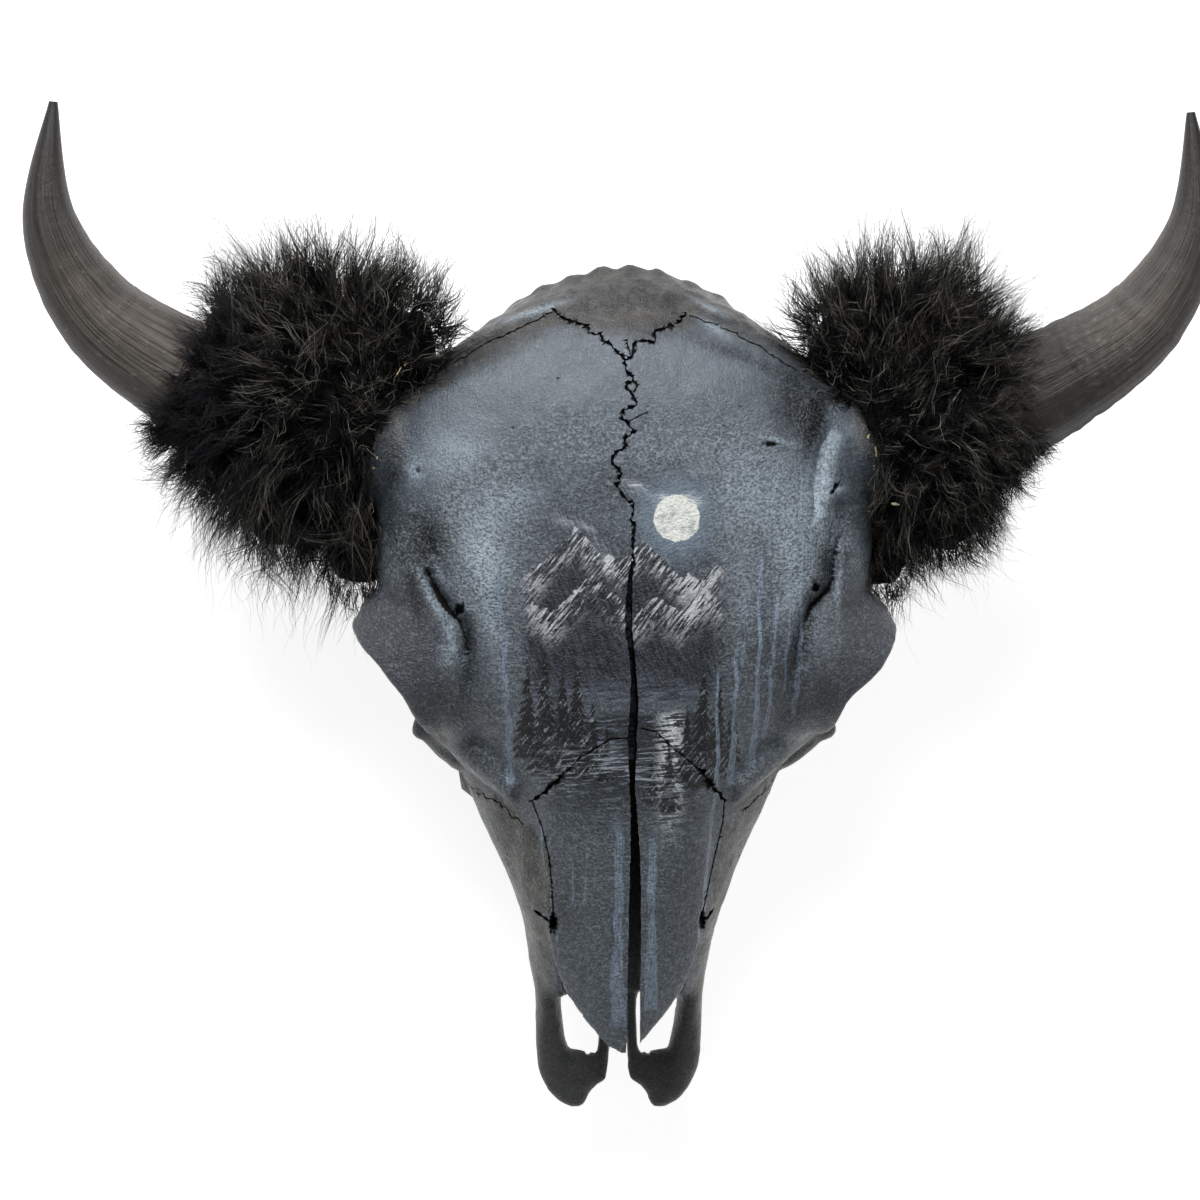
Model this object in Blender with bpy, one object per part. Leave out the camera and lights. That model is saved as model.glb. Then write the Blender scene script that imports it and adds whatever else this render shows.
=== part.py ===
# Painted bison skull with its horns and two fur collars, lying on its underside as it rests on a table.
# X runs across the skull, +Y towards the crown and +Z up out of the forehead, towards the viewer.
# The forms are laid out in millimetres, with Y = 0 on the line between the eye sockets and Z = 0 on
# the table, and are turned into metres around the middle of the whole piece at the end.

import math
import random

import bmesh
import bpy
from mathutils import Matrix, Vector

MM = 0.001

# Driving dimensions, in millimetres
CROWN_Y = 192            # back edge of the crown
MUZZLE_Y = -316          # tips of the premaxillae
FOREHEAD_HALF = 145      # half width of the forehead between the horns
EYE_RIM = Vector((139, -46, 147))       # middle of the right eye socket's rim
EYE_AXIS = Vector((0.83, -0.54, -0.12)).normalized()
EYE_RADIUS = 32
TOP_Z = 215              # top of the forehead above the table
HORN_LENGTH_SHARE_OF_CORE = 0.52
SHEATH_START = 0.155     # where the sheath begins, as a share of the horn's path
SHEATH_WALL = 5
CORE_GAP = 2.2
FUR_START = 0.12         # the collar's two ends, as shares of the horn's path
FUR_END = 0.5
FUR_RADII = [72, 84, 86, 82, 74, 58, 38]
CLEARANCE = 0.5          # between pieces that touch
ROW_SHIFT_Y = 19         # puts the middle of the whole piece on the origin
SEED = 11

# Mesh sizes
BONE_VOXEL = 3.0
BONE_TRIANGLES = 3900
FUR_VOXEL = 5.0
FUR_TRIANGLES = 980

# The horn's middle line and radius on the right side: x, y, z, radius
HORN_PATH = [
    (100, 80, 160, 41),
    (150, 89, 156, 42),
    (205, 108, 158, 38),
    (256, 131, 166, 32),
    (301, 164, 181, 25),
    (325, 214, 198, 15.5),
    (321, 278, 208, 2.5),
]

# Tooth, Y of its middle, length along the row, width
TEETH = [
    ("premolar_2", -131, 14, 14),
    ("premolar_3", -114, 17, 17),
    ("premolar_4", -95.5, 17, 20),
    ("molar_1", -73.5, 24, 24),
    ("molar_2", -45.5, 29, 26),
    ("molar_3", -11.5, 36, 25),
]
BITE_SLOPE = math.tan(math.radians(10))
BITE_Y = 4               # where the chewing plane meets the table
CROWN_HEIGHT = 17
ROOT_DEPTH = 12


def clear_scene():
    for obj in list(bpy.data.objects):
        bpy.data.objects.remove(obj)


def material(name, colour, roughness):
    mat = bpy.data.materials.new(name)
    mat.use_nodes = True
    shader = mat.node_tree.nodes["Principled BSDF"]
    shader.inputs["Base Color"].default_value = (*colour, 1)
    shader.inputs["Roughness"].default_value = roughness
    return mat


# Curves and lofts

def smooth_row(rows, share):
    """The row at a share from 0 to 1 of the way through the rows, on a Catmull-Rom curve."""
    last = len(rows) - 1
    spot = min(max(share, 0), 1) * last
    start = min(int(spot), last - 1)
    t = spot - start
    before, first, second, after = (rows[min(max(start + k, 0), last)] for k in (-1, 0, 1, 2))
    return [
        b + 0.5 * t * (c - a + t * (2 * a - 5 * b + 4 * c - d + t * (3 * (b - c) + d - a)))
        for a, b, c, d in zip(before, first, second, after)
    ]


def tube(bm, rings, sides, place):
    """Adds a closed tube whose points lie at place(share along it, angle round it)."""
    made = bmesh.ops.create_circle(bm, segments=sides, radius=1)["verts"]
    verts = list(made)
    edges = list({edge for vert in made for edge in vert.link_edges})
    first_loop = edges
    for _ in range(rings):
        grown = bmesh.ops.extrude_edge_only(bm, edges=edges)["geom"]
        new = [item for item in grown if isinstance(item, bmesh.types.BMVert)]
        bmesh.ops.translate(bm, verts=new, vec=(0, 0, 1))
        verts += new
        edges = [e for e in grown if isinstance(e, bmesh.types.BMEdge) and e.is_boundary]
    for loop in (first_loop, edges):
        bmesh.ops.contextual_create(bm, geom=loop)
    for vert in verts:
        share, angle = vert.co.z / rings, math.atan2(vert.co.y, vert.co.x)
        vert.co = place(share, angle)
    bm.normal_update()
    faces = list({face for vert in verts for face in vert.link_faces})
    bmesh.ops.recalc_face_normals(bm, faces=faces)
    return verts


def rounded(value, power):
    """One coordinate of a superellipse, from a cosine or a sine."""
    return math.copysign(abs(value) ** (2 / power), value)


def loft(bm, rows, rings=22, sides=28):
    """A form along Y. Each row is y, half width, lowest z, widest z, highest z, upper power, lower power."""
    def place(share, angle):
        y, half, low, middle, high, upper, lower = smooth_row(rows, share)
        up = math.sin(angle) > 0
        power, reach = (upper, high - middle) if up else (lower, middle - low)
        return (
            half * rounded(math.cos(angle), power),
            y,
            middle + reach * rounded(math.sin(angle), power),
        )
    return tube(bm, rings, sides, place)


def sweep(bm, rows, rings=14, sides=14, up=(0, 0, 1)):
    """A bar along a path. Each row is x, y, z, half width across and half height towards up."""
    def place(share, angle):
        row = smooth_row(rows, share)
        ahead = Vector(smooth_row(rows, share + 0.01)[:3])
        behind = Vector(smooth_row(rows, share - 0.01)[:3])
        forward = (ahead - behind).normalized()
        across = forward.cross(Vector(up)).normalized()
        above = across.cross(forward)
        return Vector(row[:3]) + across * row[3] * math.cos(angle) + above * row[4] * math.sin(angle)
    return tube(bm, rings, sides, place)


def ball(bm, centre, radii):
    matrix = Matrix.LocRotScale(Vector(centre), None, Vector(radii))
    bmesh.ops.create_icosphere(bm, subdivisions=3, radius=1, matrix=matrix)


def mirrored(rows, side):
    """The rows with their first value, x, on the given side: 1 is right and -1 is left."""
    return [(side * row[0], *row[1:]) for row in rows]


def horn_rows(side, start, end, radius_change=0.0, count=12):
    """Rows for a sweep along part of a horn's path, thicker or thinner than the horn by radius_change."""
    rows = []
    for step in range(count + 1):
        x, y, z, radius = smooth_row(HORN_PATH, start + (end - start) * step / count)
        radius = max(radius + radius_change, 1.5)
        rows.append((side * x, y, z, radius, radius))
    return rows


# Bones of the skull, each an overlapping closed form

def forehead(bm):
    loft(bm, [
        (CROWN_Y, 16, 140, 151, 161, 2.2, 2.0),
        (184, 40, 130, 150, 173, 2.1, 2.0),
        (174, 61, 122, 150, 183, 2.1, 2.0),
        (160, 82, 116, 151, 192, 2.2, 2.0),
        (146, 100, 113, 152, 199, 2.3, 2.0),
        (130, 118, 112, 153, 204, 2.4, 2.0),
        (112, FOREHEAD_HALF - 6, 114, 154, 207, 2.6, 2.0),
        (84, FOREHEAD_HALF, 118, 155, 211, 2.7, 2.0),
        (50, FOREHEAD_HALF, 122, 155, TOP_Z - 1, 2.7, 2.0),
        (16, FOREHEAD_HALF - 1, 126, 155, TOP_Z, 2.7, 2.0),
        (-16, 136, 126, 156, 212, 2.5, 2.0),
        (-48, 116, 124, 155, 207, 2.3, 2.0),
        (-80, 88, 122, 151, 199, 2.2, 2.0),
        (-116, 62, 122, 148, 190, 2.2, 2.0),
    ])


def muzzle(bm):
    loft(bm, [
        (34, 92, 72, 120, 190, 2.6, 2.2),
        (0, 102, 56, 118, 198, 2.4, 2.2),
        (-34, 107, 48, 114, 202, 2.2, 2.2),
        (-64, 106, 46, 110, 201, 1.9, 2.2),
        (-94, 99, 48, 107, 195, 1.75, 2.2),
        (-124, 87, 52, 107, 188, 1.75, 2.4),
        (-154, 73, 57, 107, 181, 1.9, 2.6),
        (-184, 61, 62, 106, 173, 2.2, 2.8),
        (-212, 54, 66, 99, 146, 2.4, 3.0),
        (-240, 48, 68, 90, 112, 2.4, 3.0),
    ])


def nasal_roof(bm):
    """The arched plate of the two nasal bones, free of the cheeks towards its tips."""
    rows = [
        (-84, 50, 197, 12, 7),
        (-120, 50, 189, 13, 6),
        (-160, 48, 180, 14, 5),
        (-200, 45, 169, 15, 4.5),
        (-232, 39, 158, 13, 4),
        (-256, 27, 149, 8, 3.5),
    ]

    def place(share, angle):
        y, half, top, droop, thickness = smooth_row(rows, share)
        across = rounded(math.cos(angle), 3)
        lift = thickness * (rounded(math.sin(angle), 3) - 1)
        return (half * across, y, top - droop * across ** 2 + lift)

    tube(bm, 14, 28, place)


def premaxilla(bm, side):
    sweep(bm, mirrored([
        (53, -180, 98, 8, 30),
        (49, -212, 90, 7, 23),
        (43, -244, 82, 7, 16),
        (42, -276, 76, 9, 10),
        (42, -300, 72, 11, 7),
        (32, MUZZLE_Y + 3, 70, 9, 5),
    ], side))
    ball(bm, (side * 26, -298, 71), (21, 17, 6))
    sweep(bm, mirrored([(9, -215, 74, 4.5, 5), (8, -260, 73, 4, 4.5), (11, -298, 71, 5, 4)], side))


def braincase(bm):
    loft(bm, [
        (184, 30, 84, 112, 148, 2.2, 2.2),
        (172, 60, 62, 106, 160, 2.3, 2.2),
        (144, 88, 52, 100, 168, 2.2, 2.2),
        (112, 84, 48, 100, 170, 2.2, 2.2),
        (72, 66, 52, 105, 172, 2.2, 2.2),
        (32, 58, 58, 110, 182, 2.2, 2.2),
        (-10, 54, 62, 110, 190, 2.2, 2.2),
    ])
    sweep(bm, [(0, 178, 54, 22, 12), (0, 120, 46, 17, 9), (0, 62, 50, 13, 9), (0, 8, 58, 12, 10)])


def skull_base(bm, side):
    ball(bm, (side * 29, 177, 60), (19, 17, 24))
    ball(bm, (side * 100, 128, 90), (22, 26, 27))
    ball(bm, (side * 44, 116, 46), (13, 17, 16))
    # The paracondylar process, which the back of the skull stands on
    sweep(bm, mirrored([
        (68, 152, 74, 18, 13),
        (66, 154, 40, 15, 12),
        (62, 150, 14, 12, 10),
        (60, 147, -12, 11, 9),
    ], side), up=(0, 1, 0))
    # The pterygoid plate beside the choana
    sweep(bm, mirrored([(27, -20, 52, 5, 16), (24, 12, 44, 4.5, 16), (20, 50, 48, 4.5, 12)], side))


def cheek(bm, side):
    sweep(bm, mirrored([
        (94, -96, 104, 9, 15),
        (119, -74, 108, 9, 14),
        (133, -32, 101, 7, 16),
        (141, 16, 96, 6, 13),
        (140, 66, 98, 6, 12),
        (126, 106, 101, 10, 13),
        (102, 130, 98, 14, 15),
    ], side))
    ball(bm, (side * 87, -90, 84), (13, 33, 15))
    # The bone in front of the eye socket, and the crest that runs from it towards the nose
    ball(bm, (side * 96, -76, 134), (26, 24, 40))
    sweep(bm, mirrored([
        (118, -78, 116, 9, 14),
        (100, -90, 132, 12, 18),
        (80, -103, 150, 12, 18),
        (60, -116, 163, 9, 13),
    ], side))
    # The ridge that holds the cheek teeth
    sweep(bm, mirrored([
        (44, -146, 66, 10, 14),
        (48, -110, 50, 14, 20),
        (53, -60, 41, 16, 23),
        (54, -10, 33, 16, 23),
        (50, 24, 38, 12, 18),
    ], side))


def eye_socket(bm, side):
    """The bony tube round the eye, before it is hollowed."""
    steps = [(-74, 54), (-44, 48), (-18, 43), (0, EYE_RADIUS + 8)]
    rows = [(*(EYE_RIM + EYE_AXIS * along), radius, radius) for along, radius in steps]
    sweep(bm, mirrored(rows, side), sides=20)
    ball(bm, (side * 130, -20, 158), (28, 30, 28))


def horn_core(bm, side):
    rows = horn_rows(side, 0, HORN_LENGTH_SHARE_OF_CORE, -SHEATH_WALL - CORE_GAP)
    rows[-1] = (*rows[-1][:3], 9, 9)
    sweep(bm, rows, sides=18)


# Hollows cut from the bones

def eye_hollow(bm, side):
    steps = [(16, 35), (0, EYE_RADIUS), (-22, EYE_RADIUS - 1), (-42, 24), (-52, 8)]
    rows = [(*(EYE_RIM + EYE_AXIS * along), radius, radius) for along, radius in steps]
    sweep(bm, mirrored(rows, side), sides=20)


def nose_hollow(bm):
    loft(bm, [
        (-350, 30, 84, 112, 148, 2.4, 2.4),
        (-290, 31, 84, 112, 147, 2.4, 2.4),
        (-250, 34, 82, 110, 142, 2.4, 2.4),
        (-210, 39, 78, 110, 155, 2.4, 2.4),
        (-170, 45, 76, 110, 164, 2.2, 2.4),
        (-130, 46, 76, 112, 168, 2.2, 2.4),
        (-95, 34, 84, 116, 164, 2.2, 2.4),
        (-80, 12, 100, 120, 145, 2.2, 2.4),
    ])


def neck_hollow(bm):
    sweep(bm, [(0, 210, 84, 19, 17), (0, 180, 86, 18, 16), (0, 140, 96, 24, 22), (0, 112, 100, 12, 12)])


def box(bm, low, high):
    size = Vector(high) - Vector(low)
    matrix = Matrix.LocRotScale(Vector(low) + size / 2, None, size)
    bmesh.ops.create_cube(bm, size=1, matrix=matrix)


def midline_gap(bm):
    """The open suture between the nasal bones, which narrows up the forehead."""
    sweep(bm, [
        (6, -275, 175, 3.2, 45),
        (6, -160, 185, 3.0, 42),
        (4, -80, 208, 2.2, 24),
        (3, -30, 216, 1.6, 14),
        (1.5, 22, 219, 1.0, 9),
    ], rings=10, sides=8)


def palate_slot(bm, side):
    rows = [(19, -238, 72, 4, 30), (20, -262, 72, 5, 30), (19, -282, 72, 3, 30)]
    sweep(bm, mirrored(rows, side), rings=4, sides=8)


def table_cut(bm):
    box(bm, (-200, -400, -60), (200, 300, 0))


# Making objects

def to_row(bm):
    """Turns the layout's millimetres into the row's metres."""
    bmesh.ops.translate(bm, verts=bm.verts, vec=(0, ROW_SHIFT_Y, 0))
    bmesh.ops.scale(bm, verts=bm.verts, vec=(MM, MM, MM))


def new_object(name, bm, mat=None):
    to_row(bm)
    mesh = bpy.data.meshes.new(name)
    bm.to_mesh(mesh)
    bm.free()
    obj = bpy.data.objects.new(name, mesh)
    bpy.context.scene.collection.objects.link(obj)
    if mat:
        mesh.materials.append(mat)
    return obj


def built(name, makers, mat=None):
    """One object holding the forms that the makers add. A maker that is paired with a side gets it."""
    bm = bmesh.new()
    for maker in makers:
        if isinstance(maker, tuple):
            maker[0](bm, maker[1])
        else:
            maker(bm)
    return new_object(name, bm, mat)


def cutter(name, makers):
    obj = built(name, makers)
    obj.hide_render = True
    obj.display_type = "WIRE"
    return obj


def cut(obj, tool):
    modifier = obj.modifiers.new("cut_" + tool.name, "BOOLEAN")
    modifier.operation = "DIFFERENCE"
    modifier.object = tool


def fuse(obj, voxel, passes):
    """Joins overlapping forms into one skin and rounds where they meet."""
    remesh = obj.modifiers.new("fuse", "REMESH")
    remesh.mode = "VOXEL"
    remesh.voxel_size = voxel * MM
    smooth = obj.modifiers.new("round", "SMOOTH")
    smooth.factor = 0.5
    smooth.iterations = passes


def applied(obj):
    """Replaces the object's mesh with what its modifiers make of it."""
    bpy.context.view_layer.update()
    graph = bpy.context.evaluated_depsgraph_get()
    mesh = bpy.data.meshes.new_from_object(obj.evaluated_get(graph))
    obj.modifiers.clear()
    obj.data = mesh
    return obj


def thin_out(obj, triangles):
    """Collapses edges until about that many triangles are left."""
    obj.data.calc_loop_triangles()
    decimate = obj.modifiers.new("thin_out", "DECIMATE")
    decimate.ratio = min(1, triangles / len(obj.data.loop_triangles))
    decimate.use_collapse_triangulate = True
    applied(obj)


def keep_largest(obj):
    """Deletes the crumbs that a cut may leave beside the main body."""
    bm = bmesh.new()
    bm.from_mesh(obj.data)
    left, islands = set(bm.verts), []
    while left:
        island, edge = set(), [left.pop()]
        while edge:
            vert = edge.pop()
            island.add(vert)
            near = {e.other_vert(vert) for e in vert.link_edges} & left
            left -= near
            edge += near
        islands.append(island)
    islands.sort(key=len)
    crumbs = [vert for island in islands[:-1] for vert in island]
    bmesh.ops.delete(bm, geom=crumbs, context="VERTS")
    bm.to_mesh(obj.data)
    bm.free()


def finish(obj, mat, sharp_degrees=50):
    obj.data.materials.clear()
    obj.data.materials.append(mat)
    obj.data.shade_smooth()
    obj.data.set_sharp_from_angle(angle=math.radians(sharp_degrees))


# Teeth

def bite_z(y):
    """Height of the chewing plane, which rises towards the muzzle."""
    return max((BITE_Y - y) * BITE_SLOPE, 0)


def row_x(y):
    """The tooth row bows outwards a little."""
    return 53 - 0.0009 * (y + 30) ** 2


def tooth(bm, side, y, length, width, grown=0.0):
    """A crown of two lobes on its root. Grown makes the socket for it, wider all round and open below."""
    def place(share, angle):
        lobes = 1 - 0.13 * math.cos(angle) ** 2 * (1 + math.cos(2 * angle)) / 2
        waist = 1 if grown else 1 - 0.16 * max(share - 0.55, 0)
        across = (width / 2 * waist * lobes) + grown
        along = (length / 2 * waist) + grown
        at = y + along * rounded(math.sin(angle), 3.2)
        low = bite_z(at) if not grown else bite_z(y) - 30
        top = bite_z(y) + CROWN_HEIGHT + ROOT_DEPTH + grown
        x = row_x(y) + across * rounded(math.cos(angle), 3.2)
        return (side * x, at, low + (top - low) * share)

    tube(bm, 3, 10, place)


# Fur collars

def collar_passage(bm, side):
    sweep(bm, horn_rows(side, 0.02, 0.75, 1.5), rings=10, sides=16)


def inside_arch(bm, side):
    """The space between the cheek arch and the braincase, which the hair stays out of."""
    inner, outer = sorted((side * 20, side * 146))
    box(bm, (inner, -60, 0), (outer, 112, 119))


def horn_axes(share):
    """A point on the right horn's middle line, with the ways along it, across it and up from it."""
    x, y, z, _ = smooth_row(HORN_PATH, share)
    ahead = Vector(smooth_row(HORN_PATH, share + 0.02)[:3]) - Vector((x, y, z))
    forward = ahead.normalized()
    across = forward.cross(Vector((0, 0, 1))).normalized()
    return Vector((x, y, z)), forward, across, across.cross(forward)


def fur_body(bm, side):
    """The packed mass of hair round the horn's base, tight on the horn at its outer end."""
    rows = []
    for step, radius in enumerate(FUR_RADII):
        x, y, z, _ = smooth_row(HORN_PATH, FUR_START + (FUR_END - FUR_START) * step / (len(FUR_RADII) - 1))
        rows.append((side * x, y + 4, z, radius, radius * 0.86))
    sweep(bm, rows, sides=20)
    ball(bm, (side * 138, 146, 160), (44, 52, 46))


def fur_lock(bm, side, start, way, length, thickness):
    """A pointed lock that leaves the collar along a way and droops towards its tip."""
    bend = start + way * length * 0.5
    tip = start + way * length + Vector((0, -0.12, -0.16)) * length
    rows = [
        (*start, thickness, thickness),
        (*bend, thickness * 0.8, thickness * 0.7),
        (*tip, 1.2, 1.2),
    ]
    sweep(bm, mirrored(rows, side), rings=6, sides=8, up=(0.3, 0.2, 0.93))


def fur_locks(bm, side):
    """Locks round the collar, combed flat over its top and underside, and a tuft beside the crown."""
    dice = random.Random(SEED)
    rings, per_ring = 5, 11
    for ring in range(rings):
        middle, forward, across, above = horn_axes(FUR_START + 0.05 + 0.062 * ring)
        for spot in range(per_ring):
            turn = 2 * math.pi * (spot + 0.5 * (ring % 2)) / per_ring + dice.uniform(-0.25, 0.25)
            out = across * math.cos(turn) + above * math.sin(turn)
            flat = abs(math.sin(turn)) ** 2
            comb = across * math.copysign(flat, math.cos(turn)) + forward * dice.uniform(-0.5, 0.4)
            way = (out * (1 - 0.3 * flat) + comb).normalized()
            start = middle + out * (62 - 5 * ring) + Vector((0, 4, 0))
            fur_lock(bm, side, start, way, dice.uniform(44, 60) - 4 * ring, dice.uniform(13, 17))
    for spot in range(9):
        turn = math.radians(-35 + 36 * spot) + dice.uniform(-0.2, 0.2)
        way = Vector((math.sin(turn) * 0.75 - 0.25, 0.8, math.cos(turn) * 0.75)).normalized()
        start = Vector((136, 146, 160)) + way * 24
        fur_lock(bm, side, start, way, dice.uniform(36, 48), dice.uniform(12, 15))


# Pieces

def make_skull(mat):
    sides = (1, -1)
    pairs = [eye_socket, cheek, skull_base, premaxilla, horn_core]
    skull = built("skull", [forehead, muzzle, nasal_roof, braincase] + [(m, s) for m in pairs for s in sides])
    fuse(skull, BONE_VOXEL, 4)
    cut(skull, cutter("hollows", [nose_hollow, neck_hollow] + [(eye_hollow, s) for s in sides]))
    fuse(skull, BONE_VOXEL, 3)
    applied(skull)
    thin_out(skull, BONE_TRIANGLES)
    cut(skull, cutter("slots", [midline_gap, table_cut] + [(palate_slot, s) for s in sides]))
    sockets = [
        (lambda bm, s, t=t: tooth(bm, s, *t[1:], grown=CLEARANCE), s) for t in TEETH for s in sides
    ]
    cut(skull, cutter("tooth_sockets", sockets))
    applied(skull)
    keep_largest(skull)
    finish(skull, mat)
    return skull


def make_teeth(mat):
    for side_name, side in (("right", 1), ("left", -1)):
        for name, *sizes in TEETH:
            obj = built(f"{side_name}_{name}", [lambda bm: tooth(bm, side, *sizes)])
            finish(obj, mat)


def sheath(bm, side):
    sweep(bm, horn_rows(side, SHEATH_START, 1), rings=14, sides=12)


def sheath_hollow(bm, side):
    """The room for the bone core, open at the base."""
    rows = horn_rows(side, SHEATH_START - 0.06, HORN_LENGTH_SHARE_OF_CORE + 0.03, -SHEATH_WALL)
    sweep(bm, rows, rings=7, sides=12)


def make_horn(side_name, side, mat):
    horn = built(f"{side_name}_horn", [(sheath, side)])
    cut(horn, cutter(f"{side_name}_horn_hollow", [(sheath_hollow, side)]))
    applied(horn)
    finish(horn, mat)


def clearance_tool(obj, name):
    """A copy of a piece, grown by the clearance, to cut its neighbour with."""
    tool = obj.copy()
    tool.data = obj.data.copy()
    tool.name = name
    bpy.context.scene.collection.objects.link(tool)
    tool.hide_render = True
    tool.display_type = "WIRE"
    grow = tool.modifiers.new("grow", "DISPLACE")
    grow.strength = 2 * CLEARANCE * MM
    grow.mid_level = 0
    return applied(tool)


def make_collar(side_name, side, skull, mat):
    collar = built(f"{side_name}_fur_collar", [(fur_body, side), (fur_locks, side)])
    fuse(collar, FUR_VOXEL, 2)
    applied(collar)
    thin_out(collar, FUR_TRIANGLES)
    cut(collar, cutter(f"{side_name}_passage", [(collar_passage, side)]))
    cut(collar, cutter(f"{side_name}_arch_room", [(inside_arch, side)]))
    cut(collar, clearance_tool(skull, f"{side_name}_skull_clearance"))
    applied(collar)
    keep_largest(collar)
    finish(collar, mat)


def main():
    clear_scene()
    bone = material("painted_bone", (0.09, 0.10, 0.13), 0.42)
    horn = material("horn", (0.08, 0.07, 0.06), 0.5)
    fur = material("black_fur", (0.02, 0.018, 0.016), 0.85)
    enamel = material("tooth", (0.62, 0.56, 0.44), 0.4)
    skull = make_skull(bone)
    make_teeth(enamel)
    for side_name, side in (("right", 1), ("left", -1)):
        make_horn(side_name, side, horn)
        make_collar(side_name, side, skull, fur)


main()
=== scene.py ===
# Painted bison skull with horns and fur collars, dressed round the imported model.
# Laid out in millimetres, Y = 0 on the line between the eyes, then moved into the shared frame.
import math

import bmesh
import bpy
import numpy as np
from mathutils import Matrix, Vector, noise
from mathutils.bvhtree import BVHTree


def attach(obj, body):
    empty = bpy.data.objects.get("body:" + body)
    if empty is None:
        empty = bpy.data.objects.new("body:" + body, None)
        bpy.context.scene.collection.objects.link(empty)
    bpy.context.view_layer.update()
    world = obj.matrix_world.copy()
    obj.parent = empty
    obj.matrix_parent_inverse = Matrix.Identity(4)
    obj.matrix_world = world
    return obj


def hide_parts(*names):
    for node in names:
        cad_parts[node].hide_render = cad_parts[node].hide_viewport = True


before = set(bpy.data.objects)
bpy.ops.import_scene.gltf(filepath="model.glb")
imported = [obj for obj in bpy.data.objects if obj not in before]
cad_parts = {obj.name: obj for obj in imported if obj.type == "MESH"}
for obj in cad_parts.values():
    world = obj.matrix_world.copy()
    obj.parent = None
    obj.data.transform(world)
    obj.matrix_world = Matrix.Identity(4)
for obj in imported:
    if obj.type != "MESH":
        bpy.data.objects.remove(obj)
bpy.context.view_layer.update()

layout = {
    "millimetre": 0.001,
    "shiftY": 19.0,  # puts the middle of the whole piece on the origin
}
sides = {"right": 1, "left": -1}


# Curves, tubes and lofts

def rowAt(rows, share):
    last = len(rows) - 1
    spot = min(max(share, 0), 1) * last
    start = min(int(spot), last - 1)
    t = spot - start
    quad = (rows[min(max(start + k, 0), last)] for k in (-1, 0, 1, 2))
    return [
        b + 0.5 * t * (c - a + t * (2 * a - 5 * b + 4 * c - d + t * (3 * (b - c) + d - a)))
        for a, b, c, d in zip(*quad)
    ]


def tube(bm, rings, around, place):
    # a closed tube, grown ring by ring, whose points then go to place(share along, angle round)
    made = bmesh.ops.create_circle(bm, segments=around, radius=1)["verts"]
    verts = list(made)
    edges = list(dict.fromkeys(edge for vert in made for edge in vert.link_edges))  # in a fixed order
    firstLoop = edges
    for _ in range(rings):
        grown = bmesh.ops.extrude_edge_only(bm, edges=edges)["geom"]
        new = [item for item in grown if isinstance(item, bmesh.types.BMVert)]
        bmesh.ops.translate(bm, verts=new, vec=(0, 0, 1))
        verts += new
        edges = [e for e in grown if isinstance(e, bmesh.types.BMEdge) and e.is_boundary]
    for loop in (firstLoop, edges):
        bmesh.ops.contextual_create(bm, geom=loop)
    grain = bm.verts.layers.float_vector.get("grain")
    for vert in verts:
        share, angle = vert.co.z / rings, math.atan2(vert.co.y, vert.co.x)
        if grain:
            vert[grain] = (math.cos(angle), math.sin(angle), share)
        vert.co = place(share, angle)
    bm.normal_update()
    faces = list(dict.fromkeys(face for vert in verts for face in vert.link_faces))
    bmesh.ops.recalc_face_normals(bm, faces=faces)
    return verts


def rounded(value, power):
    return math.copysign(abs(value) ** (2 / power), value)


def loft(bm, rows, rings=44, around=56):
    # a row is y, half width, lowest, widest and highest z, upper and lower roundness
    def place(share, angle):
        y, half, low, middle, high, upper, lower = rowAt(rows, share)
        up = math.sin(angle) > 0
        power, reach = (upper, high - middle) if up else (lower, middle - low)
        return (
            half * rounded(math.cos(angle), power),
            y,
            middle + reach * rounded(math.sin(angle), power),
        )
    return tube(bm, rings, around, place)


def directions(ahead, behind, up=(0, 0, 1)):
    # across, above and forward, from a spot behind on a path to one ahead
    forward = (ahead - behind).normalized()
    across = forward.cross(Vector(up)).normalized()
    return across, across.cross(forward), forward


def spotOn(rows, share):
    return Vector(rowAt(rows, share)[:3])


def sweep(bm, rows, rings=24, around=24, up=(0, 0, 1)):
    # a bar along a path, whose rows are x, y, z, half width and half height
    def place(share, angle):
        row = rowAt(rows, share)
        across, above, _ = directions(spotOn(rows, share + 0.01), spotOn(rows, share - 0.01), up)
        return Vector(row[:3]) + across * row[3] * math.cos(angle) + above * row[4] * math.sin(angle)
    return tube(bm, rings, around, place)


def ball(bm, centre, radii):
    matrix = Matrix.LocRotScale(Vector(centre), None, Vector(radii))
    bmesh.ops.create_icosphere(bm, subdivisions=4, radius=1, matrix=matrix)


def mirrored(rows, side):
    return [(side * row[0], *row[1:]) for row in rows]


# Objects, modifiers and points

def newObject(name, bm):
    mesh = bpy.data.meshes.new(name)
    bm.to_mesh(mesh)
    bm.free()
    obj = bpy.data.objects.new(name, mesh)
    bpy.context.scene.collection.objects.link(obj)
    return obj


def newPiece(name, bm):
    # from millimetres of the layout to metres in the shared frame
    bmesh.ops.translate(bm, verts=bm.verts, vec=(0, layout["shiftY"], 0))
    bmesh.ops.scale(bm, verts=bm.verts, vec=(layout["millimetre"],) * 3)
    return newObject(name, bm)


def bake(obj):
    # the object's mesh becomes what its modifiers make of it
    bpy.context.view_layer.update()
    graph = bpy.context.evaluated_depsgraph_get()
    mesh = bpy.data.meshes.new_from_object(obj.evaluated_get(graph))
    obj.modifiers.clear()
    obj.data = mesh
    mesh.name = obj.name
    return obj


def fuse(obj, voxel, passes):
    remesh = obj.modifiers.new("fuse", "REMESH")
    remesh.mode = "VOXEL"
    remesh.voxel_size = voxel * layout["millimetre"]
    soften = obj.modifiers.new("soften", "SMOOTH")
    soften.factor = 0.5
    soften.iterations = passes
    return bake(obj)


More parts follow.
